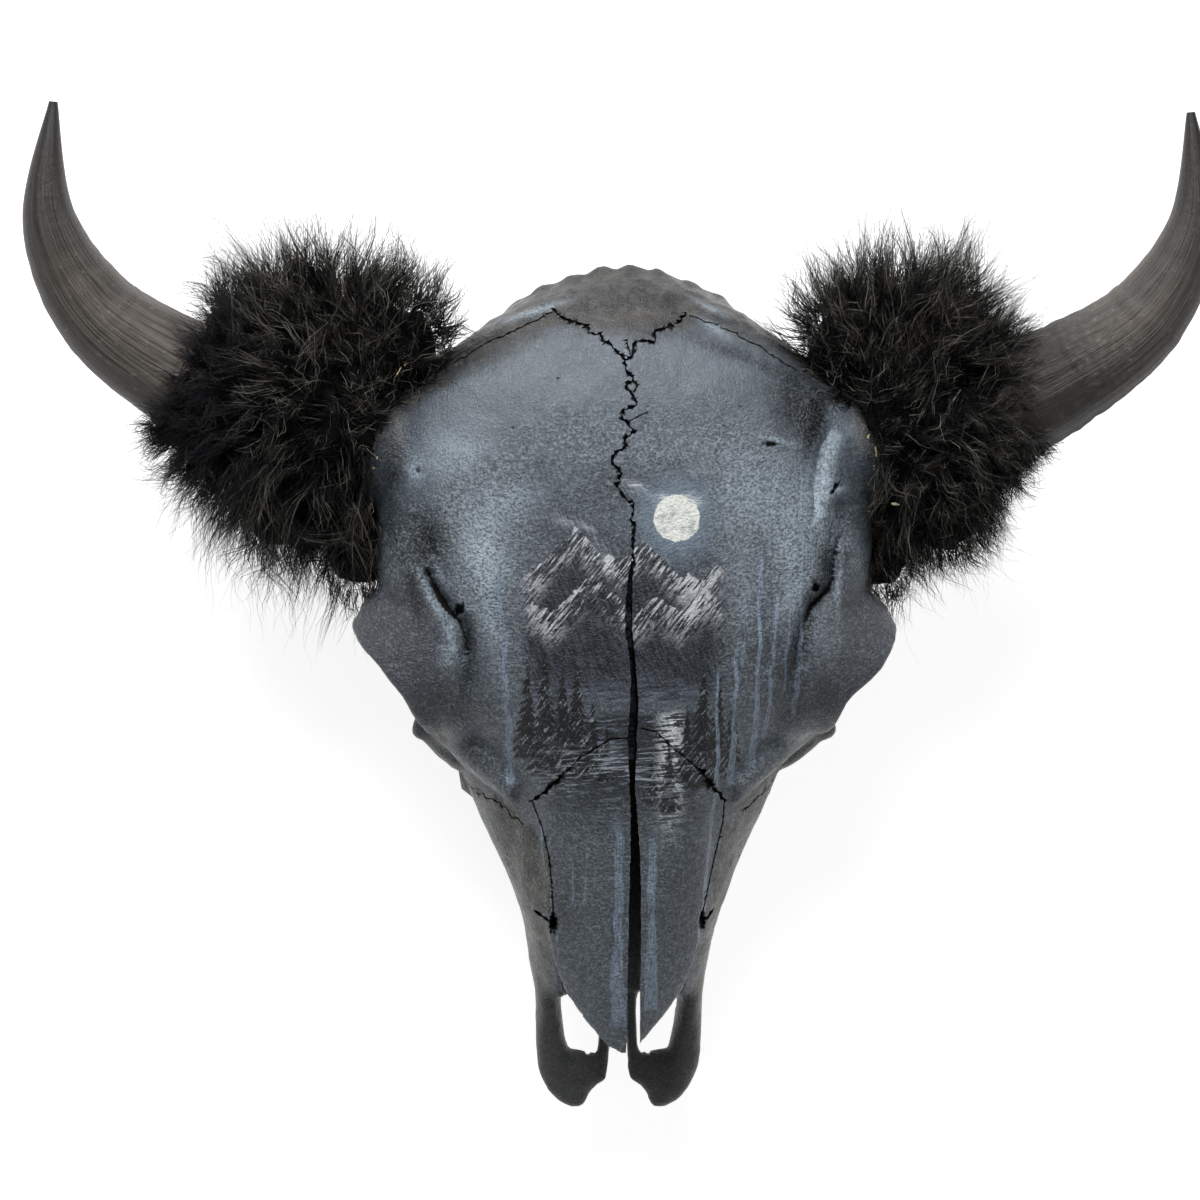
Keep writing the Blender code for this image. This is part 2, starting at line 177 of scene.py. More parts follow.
def cutAway(obj, tool):
    modifier = obj.modifiers.new("cut", "BOOLEAN")
    modifier.operation = "DIFFERENCE"
    modifier.object = tool
    bake(obj)
    bpy.data.objects.remove(tool)


def roughen(obj, name, size, strength):
    # lumps of one size all over, in millimetres
    clouds = bpy.data.textures.new(name, "CLOUDS")
    clouds.noise_scale = size * layout["millimetre"]
    clouds.noise_depth = 1
    lumps = obj.modifiers.new(name, "DISPLACE")
    lumps.texture = clouds
    lumps.texture_coords = "LOCAL"
    lumps.mid_level = 0.5
    lumps.strength = strength * layout["millimetre"]


def triangleCount(obj):
    obj.data.calc_loop_triangles()
    return len(obj.data.loop_triangles)


def readFlat(items, name):
    flat = np.empty(len(items) * 3)
    items.foreach_get(name, flat)
    return flat.reshape(-1, 3)


def readSpots(mesh):
    return readFlat(mesh.vertices, "co") / layout["millimetre"] - (0, layout["shiftY"], 0)


def writeSpots(mesh, spots):
    flat = (spots + (0, layout["shiftY"], 0)) * layout["millimetre"]
    mesh.vertices.foreach_set("co", flat.ravel())
    mesh.update()


def readNormals(mesh):
    return readFlat(mesh.vertex_normals, "vector")


def storeValues(mesh, name, values):
    attribute = mesh.attributes.new(name, "FLOAT", "POINT")
    attribute.data.foreach_set("value", np.asarray(values, dtype=np.float32))


def smoothStep(values, low, high):
    t = np.clip((values - low) / (high - low), 0, 1)
    return t * t * (3 - 2 * t)


def ripple(x, y, z):
    return noise.noise(Vector((x, y, z)))


def nearLine(spots, line):
    # distance, side (1 is left of the way along) and share along the line, seen from above
    best = np.full(len(spots), 1e9)
    side = np.zeros(len(spots))
    along = np.zeros(len(spots))
    for step, (start, end) in enumerate(zip(line[:-1], line[1:])):
        start, run = np.array(start), np.array(end) - np.array(start)
        t = np.clip((spots - start) @ run / (run @ run), 0, 1)
        off = spots - (start + t[:, None] * run)
        far = np.hypot(off[:, 0], off[:, 1])
        closer = far < best
        best[closer] = far[closer]
        side[closer] = np.sign(run[0] * off[:, 1] - run[1] * off[:, 0])[closer]
        along[closer] = (step + t)[closer] / (len(line) - 1)
    return best, side, along


def jagged(line, step, swing, seed):
    # the line with small chance kinks, about one every step
    dice = np.random.default_rng(seed)
    spots = [line[0]]
    for start, end in zip(line[:-1], line[1:]):
        run = np.array(end) - np.array(start)
        length = math.hypot(*run)
        parts = max(int(length / step), 1)
        for part in range(1, parts + 1):
            kink = dice.uniform(-swing, swing) if part < parts else 0
            off = np.array((-run[1], run[0])) / length * kink
            spots.append(tuple(np.array(start) + run * part / parts + off))
    return spots


def ready(obj, slotName, *nodes):
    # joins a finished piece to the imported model
    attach(obj, "root")
    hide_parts(*nodes)
    return obj


# Materials: a shader's numbers and colours, so that ordinary arithmetic works on them

class Term:
    def __init__(self, paint, socket):
        self.paint = paint
        self.socket = socket

    def __add__(self, other):
        return self.paint.run("ADD", self, other)

    def __sub__(self, other):
        return self.paint.run("SUBTRACT", self, other)

    def __rsub__(self, other):
        return self.paint.run("SUBTRACT", other, self)

    def __mul__(self, other):
        return self.paint.run("MULTIPLY", self, other)

    def __truediv__(self, other):
        return self.paint.run("DIVIDE", self, other)

    def __abs__(self):
        return self.paint.run("ABSOLUTE", self)

    __radd__ = __add__
    __rmul__ = __mul__


class Paint:
    def __init__(self, name):
        self.material = bpy.data.materials.new(name)
        self.material.use_nodes = True
        self.tree = self.material.node_tree
        self.shader = self.tree.nodes["Principled BSDF"]
        metres = self.add("ShaderNodeTexCoord").outputs["Object"]
        millimetres = self.move("MULTIPLY", metres, (1000, 1000, 1000))
        self.spot = self.move("SUBTRACT", millimetres, (0, layout["shiftY"], 0))
        self.x, self.y, self.z = self.split(self.spot)

    def add(self, kind, **settings):
        node = self.tree.nodes.new(kind)
        for key, value in settings.items():
            setattr(node, key, value)
        return node

    def plug(self, socket, value):
        if isinstance(value, Term):
            value = value.socket
        if isinstance(value, bpy.types.NodeSocket):
            self.tree.links.new(value, socket)
        else:
            socket.default_value = value

    def run(self, operation, *values):
        node = self.add("ShaderNodeMath", operation=operation)
        for socket, value in zip(node.inputs, values):
            self.plug(socket, value)
        return Term(self, node.outputs[0])

    def most(self, terms):
        best = terms[0]
        for term in terms[1:]:
            best = self.run("MAXIMUM", best, term)
        return best

    def move(self, operation, first, second):
        node = self.add("ShaderNodeVectorMath", operation=operation)
        self.plug(node.inputs[0], first)
        self.plug(node.inputs[1], second)
        return node.outputs[0]

    def split(self, vector):
        node = self.add("ShaderNodeSeparateXYZ")
        self.plug(node.inputs[0], vector)
        return [Term(self, out) for out in node.outputs]

    def own(self, name, output="Fac"):
        # an attribute that the piece's mesh carries
        return Term(self, self.add("ShaderNodeAttribute", attribute_name=name).outputs[output])

    def step(self, value, low, high, start=0.0, end=1.0):
        # goes softly from start to end as the value goes from low to high
        node = self.add("ShaderNodeMapRange", interpolation_type="SMOOTHSTEP")
        for socket, given in zip(node.inputs, (value, low, high, start, end)):
            self.plug(socket, given)
        return Term(self, node.outputs[0])

    def noise(self, size, detail=3, stretch=(1, 1, 1), turn=0.0, away=0.0, on=None, rough=0.55):
        # cloudy values round 0.5, whose blobs have a size in millimetres
        place = self.add("ShaderNodeMapping", vector_type="TEXTURE")
        self.plug(place.inputs["Vector"], on or self.spot)
        place.inputs["Location"].default_value = (away * 7.1, away * 3.3, away)
        place.inputs["Rotation"].default_value = (0, 0, math.radians(turn))
        place.inputs["Scale"].default_value = stretch
        node = self.add("ShaderNodeTexNoise")
        self.plug(node.inputs["Vector"], place.outputs[0])
        node.inputs["Scale"].default_value = 1 / size
        node.inputs["Detail"].default_value = detail
        node.inputs["Roughness"].default_value = rough
        return Term(self, node.outputs[0])

    def blend(self, share, first, second):
        node = self.add("ShaderNodeMix", data_type="RGBA")
        self.plug(node.inputs[0], share)
        self.plug(node.inputs[6], first)
        self.plug(node.inputs[7], second)
        return node.outputs[2]

    def layer(self, under, value, low, high, share, shade):
        # a colour laid over another, up to a share, as the value goes from low to high
        return self.blend(self.step(value, low, high, 0, share), under, shade)

    def raise_(self, height):
        # relief, where a height of 1 is one millimetre
        bump = self.add("ShaderNodeBump")
        bump.inputs["Distance"].default_value = layout["millimetre"]
        self.plug(bump.inputs["Height"], height)
        self.tree.links.new(bump.outputs[0], self.shader.inputs["Normal"])

    def finish(self, colour, roughness, height, **fixed):
        self.plug(self.shader.inputs["Base Color"], colour)
        self.plug(self.shader.inputs["Roughness"], roughness)
        self.raise_(height)
        for name, value in fixed.items():
            self.shader.inputs[name.replace("_", " ")].default_value = value
        return self.material


def tint(red, green, blue):
    # a colour as a screen shows it, from 0 to 255, turned into the shader's own
    return (*[((part / 255 + 0.055) / 1.055) ** 2.4 for part in (red, green, blue)], 1)


def dress(obj, material, sharp=None):
    # its material and its smooth shading, with edges sharper than an angle left sharp
    obj.data.materials.clear()
    obj.data.materials.append(material)
    obj.data.shade_smooth()
    if sharp:
        obj.data.set_sharp_from_angle(angle=math.radians(sharp))


# Bones of the skull

skull = {
    "voxel": 1.9,
    "softening": 9,
    "fineVoxel": 1.6,
    "fineSoftening": 3,
    "triangles": 122000,
    "lumps": [  # name, size and strength of the unevenness
        ("broadLumps", 34, 2.2),
        ("midLumps", 11, 0.8),
        ("smallLumps", 4, 0.28),
    ],
    "faceLow": 96,  # the face's cuts are made above this height
    "seamReach": 2.0,  # faces this near a seam are split, so many times
    "seamPasses": 2,
    "shownShare": 0.62,  # how much less the shown side is thinned
    "sharp": 55,  # degrees
    "foreheadHalf": 145,
    "topZ": 215,
    "eyeRim": Vector((139, -46, 147)),
    "eyeAxis": Vector((0.83, -0.54, -0.12)).normalized(),
    "eyeRadius": 32,
}
hornPath = [  # middle line and radius of the right horn
    (100, 80, 160, 41),
    (150, 89, 156, 42),
    (205, 108, 158, 38),
    (256, 131, 166, 32),
    (301, 164, 181, 25),
    (325, 214, 198, 15.5),
    (321, 278, 208, 2.5),
]
foreheadHalf, topZ = skull["foreheadHalf"], skull["topZ"]
boneLofts = {
    "forehead": [
        (192, 16, 140, 151, 161, 2.2, 2.0),
        (184, 40, 130, 150, 173, 2.1, 2.0),
        (174, 61, 122, 150, 183, 2.1, 2.0),
        (160, 82, 116, 151, 192, 2.2, 2.0),
        (146, 100, 113, 152, 199, 2.3, 2.0),
        (130, 118, 112, 153, 204, 2.4, 2.0),
        (112, foreheadHalf - 6, 114, 154, 207, 2.6, 2.0),
        (84, foreheadHalf, 118, 155, 211, 2.7, 2.0),
        (50, foreheadHalf, 122, 155, topZ - 1, 2.7, 2.0),
        (16, foreheadHalf - 1, 126, 155, topZ, 2.7, 2.0),
        (-16, 136, 126, 156, 212, 2.5, 2.0),
        (-48, 116, 124, 155, 207, 2.3, 2.0),
        (-80, 88, 122, 151, 199, 2.2, 2.0),
        (-116, 62, 122, 148, 190, 2.2, 2.0),
    ],
    "muzzle": [
        (34, 92, 72, 120, 190, 2.6, 2.2),
        (0, 102, 56, 118, 198, 2.4, 2.2),
        (-34, 107, 48, 114, 202, 2.2, 2.2),
        (-64, 106, 46, 110, 201, 1.9, 2.2),
        (-94, 99, 48, 107, 195, 1.75, 2.2),
        (-124, 87, 52, 107, 188, 1.75, 2.4),
        (-154, 73, 57, 107, 181, 1.9, 2.6),
        (-184, 61, 62, 106, 173, 2.2, 2.8),
        (-212, 54, 66, 99, 146, 2.4, 3.0),
        (-240, 48, 68, 90, 112, 2.4, 3.0),
    ],
    "braincase": [
        (184, 30, 84, 112, 148, 2.2, 2.2),
        (172, 60, 62, 106, 160, 2.3, 2.2),
        (144, 88, 52, 100, 168, 2.2, 2.2),
        (112, 84, 48, 100, 170, 2.2, 2.2),
        (72, 66, 52, 105, 172, 2.2, 2.2),
        (32, 58, 58, 110, 182, 2.2, 2.2),
        (-10, 54, 62, 110, 190, 2.2, 2.2),
    ],
}
pairedBars = {
    "premaxilla": [
        (53, -180, 98, 8, 30),
        (49, -212, 90, 7, 23),
        (44, -242, 82, 7.5, 16),
        (42, -268, 76, 9.5, 11),
        (38, -290, 72, 11, 8),
        (29, -304, 70, 10, 6),
        (19, -309, 69, 6, 4),
    ],
    "premaxillaInner": [(9, -215, 74, 4.5, 5), (8, -260, 73, 4, 4.5), (11, -298, 71, 5, 4)],
    "pterygoid": [(27, -20, 52, 5, 16), (24, 12, 44, 4.5, 16), (20, 50, 48, 4.5, 12)],
    "cheekArch": [
        (94, -96, 104, 9, 15),
        (119, -74, 108, 9, 14),
        (133, -32, 101, 7, 16),
        (141, 16, 96, 6, 13),
        (140, 66, 98, 6, 12),
        (126, 106, 101, 10, 13),
        (102, 130, 98, 14, 15),
    ],
    "toothRidge": [
        (44, -146, 66, 10, 14),
        (48, -110, 50, 14, 20),
        (53, -60, 41, 16, 23),
        (54, -10, 33, 16, 23),
        (50, 24, 38, 12, 18),
    ],
    "faceCrest": [  # from the lower rim of the eye socket in towards the nose
        (115, -73, 116, 8, 13),
        (97, -82, 132, 10, 17),
        (79, -95, 150, 11, 18),
        (60, -112, 163, 9, 13),
    ],
}
standingBars = {  # these are swept upwards
    "jugularProcess": [
        (68, 152, 74, 18, 13),
        (66, 154, 40, 15, 12),
        (62, 150, 14, 12, 10),
        (60, 147, -12, 11, 9),
    ],
}
pairedBalls = [  # centre, radii
    ((27, -292, 71), (18, 15, 7)),
    ((29, 177, 60), (19, 17, 24)),
    ((100, 128, 90), (22, 26, 27)),
    ((44, 116, 46), (13, 17, 16)),
    ((87, -90, 84), (13, 33, 15)),
    ((90, -68, 134), (24, 20, 40)),
    ((130, -20, 158), (28, 30, 28)),
    ((114, -28, 166), (28, 37, 30)),
    ((122, -76, 110), (11, 9, 10)),
]
palateSlot = [
    (18, -232, 72, 1, 30), (18.5, -240, 72, 3.6, 30), (19, -258, 72, 4.6, 30), (19, -274, 72, 3.4, 30),
    (18.5, -281, 72, 1, 30),
]
baseBar = [(0, 178, 54, 22, 12), (0, 120, 46, 17, 9), (0, 62, 50, 13, 9), (0, 8, 58, 12, 10)]


def eyeRows(steps):
    return [(*(skull["eyeRim"] + skull["eyeAxis"] * along), wide, wide) for along, wide in steps]


def hornRows(side, start, end, change=0.0, count=12):
    rows = []
    for step in range(count + 1):
        x, y, z, radius = rowAt(hornPath, start + (end - start) * step / count)
        radius = max(radius + change, 1.5)
        rows.append((side * x, y, z, radius, radius))
    return rows


sideTrims = [  # x, y, radius across and along, how far the side is moved along x
    (-138, -55, 34, 34, 10),
    (138, -58, 30, 14, -7),
]


def trimSides(obj):
    spots = readSpots(obj.data)
    for x, y, across, along, shift in sideTrims:
        spots[:, 0] += shift * np.exp(-roundSpot(spots, x, y, across, along) ** 2)
    writeSpots(obj.data, spots)


def nasalRoof(bm):
    rows = [  # y, half width, top, droop at the sides, thickness
        (-84, 50, 197, 12, 7),
        (-120, 50, 189, 13, 6),
        (-160, 48, 180, 14, 5),
        (-198, 45, 169, 15, 4.5),
        (-224, 38, 160, 12, 4.2),
        (-244, 27, 153, 8, 3.8),
        (-260, 14, 147, 4, 3.2),
        (-269, 5, 144, 1, 2.4),
    ]

    def place(share, angle):
        y, half, top, droop, thickness = rowAt(rows, share)
        across = rounded(math.cos(angle), 3)
        lift = thickness * (rounded(math.sin(angle), 3) - 1)
        return (half * across, y, top - droop * across ** 2 + lift)

    tube(bm, 28, 56, place)


def addBones(bm):
    for rows in boneLofts.values():
        loft(bm, rows)
    nasalRoof(bm)
    sweep(bm, baseBar)
    for side in sides.values():
        for rows in pairedBars.values():
            sweep(bm, mirrored(rows, side))
        for rows in standingBars.values():
            sweep(bm, mirrored(rows, side), up=(0, 1, 0))
        for (x, y, z), radii in pairedBalls:
            ball(bm, (side * x, y, z), radii)
        socket = eyeRows([(-74, 54), (-44, 48), (-18, 43), (0, skull["eyeRadius"] + 8)])
        sweep(bm, mirrored(socket, side), around=36)
        core = hornRows(side, 0, 0.52, -7.2)
        core[-1] = (*core[-1][:3], 9, 9)
        sweep(bm, core, around=32)


def addHollows(bm):
    loft(bm, [
        (-350, 30, 84, 112, 148, 2.4, 2.4),
        (-290, 31, 84, 112, 147, 2.4, 2.4),
        (-250, 34, 82, 110, 142, 2.4, 2.4),
        (-210, 39, 78, 110, 155, 2.4, 2.4),
        (-170, 45, 76, 110, 164, 2.2, 2.4),
        (-130, 46, 76, 112, 168, 2.2, 2.4),
        (-95, 34, 84, 116, 164, 2.2, 2.4),
        (-80, 12, 100, 120, 145, 2.2, 2.4),
    ])
    sweep(bm, [(0, 210, 84, 19, 17), (0, 180, 86, 18, 16), (0, 140, 96, 24, 22), (0, 112, 100, 12, 12)])
    eyeSteps = [(16, 35), (0, skull["eyeRadius"]), (-22, skull["eyeRadius"] - 1), (-42, 24), (-52, 8)]
    for side in sides.values():
        sweep(bm, mirrored(eyeRows(eyeSteps), side), around=36)


def box(bm, low, high):
    size = Vector(high) - Vector(low)
    bmesh.ops.create_cube(bm, size=1, matrix=Matrix.LocRotScale(Vector(low) + size / 2, None, size))


# Sutures, cracks and grooves of the face, each seen from above

seams = {  # line, half width, depth, step and swing of its kinks
    "frontal": ([
        (-1.5, 136), (-0.5, 129), (3, 125), (-1, 120.5), (3, 115), (4.5, 109.5), (-2.5, 107.5),
        (-3.5, 102.5),
        (0, 99), (3.5, 95), (-2, 91), (-1, 87.5), (-7.5, 82), (-9.5, 78), (-3.5, 71), (-6.5, 63.5),
        (-3.5, 58), (3, 54), (1, 45.5), (3.5, 41), (2.5, 28), (1.5, 14),
    ], 0.72, 3.4, 1.5, 0.75),
    "leftCrown": ([
        (-1.5, 136), (-7, 142), (-12.5, 146.5), (-16, 151.5), (-22, 151.5), (-23, 156.5), (-28, 157.5),
        (-33, 160), (-37.5, 162), (-42, 167),
    ], 0.66, 3.0, 1.4, 0.75),
    "rightCrown": ([
        (-1.5, 136), (2.5, 138), (4.5, 146), (10, 147), (15.5, 146.5), (16.5, 153.5), (21.5, 155),
        (27, 157.5), (31.5, 160), (34, 165),
    ], 0.66, 3.0, 1.4, 0.75),
    "crownTick": ([(1.5, 139), (-0.5, 147.5)], 0.4, 1.2, 2, 0.2),
    "upperChip": ([(3.2, 124), (5.4, 121), (3.8, 118)], 0.5, 1.4, 1, 0.3),
    "middleChip": ([(-1, 100), (6, 103.5), (10.5, 105.5)], 0.3, 0.7, 2, 0.3),
    "leftCrest": ([(-42, 165), (-54, 159), (-68, 152.5), (-84, 145), (-98, 136)], 0.34, 1.4, 3, 0.8),
    "rightCrest": ([(36, 163), (48, 159), (60, 154), (74, 147), (98, 132)], 0.3, 1.2, 3, 0.8),
    "leftNasal": ([(1, -78.5), (-9.5, -79), (-18.5, -84.5), (-26, -89), (-38, -102)], 0.42, 1.6, 3, 0.4),
    "leftNasalOpen": ([(-37, -101), (-46, -110), (-54, -116)], 1.0, 4.5, 3, 0.35),
    "rightNasal": ([(8, -73), (16, -75), (28, -86), (37, -93), (43, -98)], 0.42, 1.6, 3, 0.4),
    "rightNasalOpen": ([(42, -97), (51, -109), (58, -116)], 0.9, 4.5, 3, 0.35),
    "leftNasalSide": ([
        (-54, -116), (-48, -131.5), (-44, -149), (-42, -169.5), (-41, -190),
    ], 0.4, 1.8, 8, 0.15),
    "rightNasalSide": ([
        (58, -116), (57.5, -130), (53, -150), (48.5, -172), (45, -190),
    ], 0.32, 1.3, 8, 0.15),
    "leftLacrimal": ([
        (-92, -109), (-84.5, -115.5), (-75.5, -118), (-66.5, -125.5), (-59, -131),
    ], 0.35, 1.0, 1.6, 1.5),
    "rightLacrimal": ([(94, -107), (86, -113), (78, -119), (70, -124)], 0.35, 0.9, 1.6, 1.4),
    "leftNotch": ([(-51.5, -183), (-48, -185.5), (-43, -188)], 0.8, 4, 3, 0.2),
    "rightNotch": ([(54, -182.5), (51, -186), (47.5, -188.5)], 0.8, 4, 3, 0.2),
    "rightNick": ([(115.5, 60), (118.5, 65), (122.5, 67.5)], 0.9, 2.2, 3, 0.2),
}
grooves = {  # line, half width, depth, how much its left and right banks are raised
    "leftHollow": ([(-125, 48), (-118, 36), (-110, 22), (-102, 4)], 8, 2.8, 0.2, 0.4),
    "leftBrow": ([
        (-111, 10), (-106, 0), (-100, -8), (-94, -14), (-91, -26), (-89, -42), (-85, -62),
    ], 5, 4.0, 1.4, 1.8),
    "leftLip": ([(-118, 18), (-112, 0), (-104, -13)], 3.4, -2.2, 0, 0),
    "leftSlit": ([
        (-115, 20), (-111.5, 12), (-107, 3), (-102, -5), (-95, -12), (-91.5, -22), (-90, -36),
    ], 2.5, 6.0, 0, 0),
    "rightLedge": ([(119, 102), (113, 92.5), (108.5, 83.5), (107, 68), (106, 52)], 5, 1.6, 2.4, 0.0),
    "rightCrease": ([(117, 98), (110.5, 87), (107.5, 74), (106.5, 58), (105, 42)], 1.7, 2.2, 0.6, 1.0),
    "rightBrowTop": ([(124, 58), (120, 40), (117, 30)], 6, 2.2, 1.8, 0.4),
    "rightBrow": ([
        (117, 32), (117, 11), (115, 6), (104.5, -4), (101.5, -14), (98, -36), (92, -60),
    ], 5, 4.4, 1.6, 1.2),
    "rightSlit": ([(123, 40), (118.5, 28), (117.5, 12), (115, 6), (104.5, -4), (100, -16)], 1.5, 3.8, 0, 0),
    "rightRib": ([(117, 36), (120.5, 20), (121.5, 0), (119, -18)], 3.0, -1.6, 0, 0),
    "noseValley": ([(4, -60), (5, -120), (6, -200)], 12, 1.6, 0.2, 0.2),
    "leftCheek": ([(-100, -104), (-82, -122), (-70, -142), (-62, -170)], 14, 2.2, 0, 0),
    "rightCheek": ([(104, -100), (86, -120), (74, -142), (66, -170)], 14, 2.2, 0, 0),
    "leftStrip": ([(-50, 172), (-72, 162), (-92, 150)], 5, -1.6, 0, 0),
    "rightStrip": ([(44, 169), (66, 162), (88, 150)], 5, -1.4, 0, 0),
}
slits = {"leftSlit": (0.4, 0.17), "rightSlit": (0.74, 0.22)}  # share along where each gapes, and its spread
gapLine = [
    (1.5, 22), (0.4, 4), (0.2, -18), (2.8, -38), (3.4, -60), (2.8, -84), (3.2, -106), (4.4, -128),
    (5.3, -150),
    (5.6, -192), (6, -285),
]
pits = [  # x, y, radius across and along, depth
    (-95, -5.5, 3.0, 3.4, 7),
    (107, 7, 2.2, 2.6, 6),
    (80.5, 88, 4.6, 1.6, 2.2),
    (-41.2, -189, 2.2, 6.5, 9),
    (46, -188.5, 2.0, 6.5, 9),
    (-118.5, 73, 1.4, 3.0, 1.8),
    (-39.5, 125, 1.0, 0.8, 1.2),
    (-65, 96.5, 0.9, 0.9, 1.2),
    (64, 109, 0.9, 0.8, 1.0),
    (-12, 63, 0.7, 0.7, 0.8),
    (28, 121, 0.7, 0.6, 0.8),
]
lumps = [  # x, y, radius across and along, height
    (-106, -16, 4.5, 5, 2.0),
    (-99.5, -23, 4.2, 5, 2.2),
    (-98, -31, 3.6, 4, 1.7),
    (-101, -38, 3, 4, 1.4),
    (104, -24, 6, 10, 1.4),
    (110, 16, 4, 5, 1.0),
    (-92, 55, 34, 60, 1.4),
    (92, 40, 30, 60, 1.2),
    (50, 118, 34, 18, 1.6),
    (-56, 112, 34, 20, 1.2),
    (0, 10, 60, 50, 1.0),
]
roughSpots = [  # x, y, radius across and along, strength of the chance lumps there
    (-112, 28, 13, 24, 1.3),
    (-97, -20, 12, 26, 1.5),
    (108, 14, 10, 16, 1.3),
    (113, 44, 9, 34, 0.8),
    (-86, -108, 30, 14, 0.8),
    (92, -104, 30, 14, 0.8),
    (0, 176, 42, 12, 0.6),
]


def seamLines():
    return [jagged(line, step, swing, 30 + order)
            for order, (line, _, _, step, swing) in enumerate(seams.values())]


def roundSpot(flat, x, y, across, along):
    # distance from a spot, where 1 is on its rim
    return np.hypot((flat[:, 0] - x) / across, (flat[:, 1] - y) / along)


def carveFace(obj):
    mesh = obj.data
    spots, facing = readSpots(mesh), readNormals(mesh)
    flat, upward = spots[:, :2], smoothStep(facing[:, 2], 0.05, 0.5)
    above = upward * (spots[:, 2] > skull["faceLow"])
    move = np.zeros(len(spots))
    crack = np.zeros(len(spots))
    for name, (line, half, deep, left, right) in grooves.items():
        far, side, along = nearLine(flat, line)
        ends = smoothStep(along, 0, 0.12) * (1 - smoothStep(along, 0.88, 1))
        bank = np.where(side > 0, left, right) * np.exp(-((far - 1.8 * half) / (1.1 * half)) ** 2)
        move += above * ends * (bank - deep * np.exp(-(far / half) ** 2))
        if name in slits:
            middle, spread = slits[name]
            ragged = far + 0.4 * np.sin(1.7 * flat[:, 1]) * np.sin(1.1 * flat[:, 0])
            gape = half * (0.25 + 0.75 * np.exp(-((along - middle) / spread) ** 2))
            crack = np.maximum(crack, above * ends * (1 - smoothStep(ragged / gape, 0.5, 1.15)))
    for x, y, across, along, deep in pits:
        wave = np.sin(1.3 * flat[:, 0] + 0.9 * flat[:, 1])
        uneven = 0.22 * wave * np.sin(1.1 * flat[:, 1] - 0.7 * flat[:, 0])
        hole = 1 - smoothStep(roundSpot(flat, x, y, across, along) + uneven, 0.4, 1.25)
        move -= above * deep * hole
        crack = np.maximum(crack, above * hole * min(deep / 3, 1))
    for x, y, across, along, high in lumps:
        move += above * high * np.exp(-roundSpot(flat, x, y, across, along) ** 2)
    for x, y, across, along, high in roughSpots:
        share = above * np.exp(-roundSpot(flat, x, y, across, along) ** 2)
        for index in np.nonzero(share > 0.04)[0]:
            spot = Vector(spots[index])
            uneven = noise.noise(spot * 0.22) * 1.3 + noise.noise(spot * 0.6) * 0.7
            move[index] += high * share[index] * uneven
    x, y = flat[:, 0], flat[:, 1]
    worn = 0.8 + 0.9 * np.sin(x * 0.9 + y * 0.55) * np.sin(y * 0.8 - x * 0.4)
    for line, (_, half, deep, _, _) in zip(seamLines(), seams.values()):
        far, _, _ = nearLine(flat, line)
        gape = np.maximum(half * worn, 0.25)
        move -= above * deep * (1 - smoothStep(far / gape, 0.45, 1.3))
        crack = np.maximum(crack, above * (1 - smoothStep(far / gape, 0.6, 1.45)))
    spots[:, 2] += move
    writeSpots(mesh, spots)
    storeValues(mesh, "crack", crack)


napeCrest = [
    (-98, 104), (-84, 130), (-58, 150), (-28, 158), (0, 160), (28, 158), (58, 150), (84, 130),
    (98, 104),
]
napeForms = [  # x, z, radius across and up, how far the back of the skull stands out there
    (0, 118, 4.5, 30, 3.5),
    (-30, 124, 20, 20, -3.5),
    (30, 124, 20, 20, -3.5),
    (-66, 104, 15, 24, 2.5),
    (66, 104, 15, 24, 2.5),
    (-48, 96, 6, 22, -2.0),
    (48, 96, 6, 22, -2.0),
]


def carveNape(obj):
    # crest, hollows and rough places where the neck's muscles were fixed
    mesh = obj.data
    spots, facing = readSpots(mesh), readNormals(mesh)
    seen = np.column_stack([spots[:, 0], spots[:, 2]])
    behind = smoothStep(facing[:, 1], 0.1, 0.55) * (spots[:, 1] > 110)
    far, _, _ = nearLine(seen, napeCrest)
    move = 3.8 * np.exp(-(far / 4.5) ** 2) * (0.75 + 0.25 * np.sin(seen[:, 0] * 0.35))
    for x, z, across, up, out in napeForms:
        move += out * np.exp(-roundSpot(seen, x, z, across, up) ** 2)
    for index in np.nonzero(behind > 0.05)[0]:
        move[index] += 1.1 * noise.noise(Vector(spots[index]) * 0.16)
    spots[:, 1] += move * behind
    writeSpots(mesh, spots)


def refineSeams(obj, reach, passes):
    # splits the faces beside the seams, so that their edges are sharp
    lines = seamLines() + [gapLine] + [grooves[name][0] for name in slits]
    for _ in range(passes):
        bm = bmesh.new()
        bm.from_mesh(obj.data)
        spots, facing = readSpots(obj.data), readNormals(obj.data)
        far = np.min([nearLine(spots[:, :2], line)[0] for line in lines], axis=0)
        for x, y, across, along, _ in pits:
            far = np.minimum(far, np.hypot(spots[:, 0] - x, spots[:, 1] - y) - max(across, along))
        near = (far < reach) & (facing[:, 2] > 0) & (spots[:, 2] > skull["faceLow"])
        bm.verts.ensure_lookup_table()
        edges = [e for e in bm.edges if near[e.verts[0].index] and near[e.verts[1].index]]
        bmesh.ops.subdivide_edges(bm, edges=edges, cuts=1, use_grid_fill=True)
        bmesh.ops.triangulate(bm, faces=[f for f in bm.faces if len(f.verts) > 4])
        bm.to_mesh(obj.data)
        bm.free()


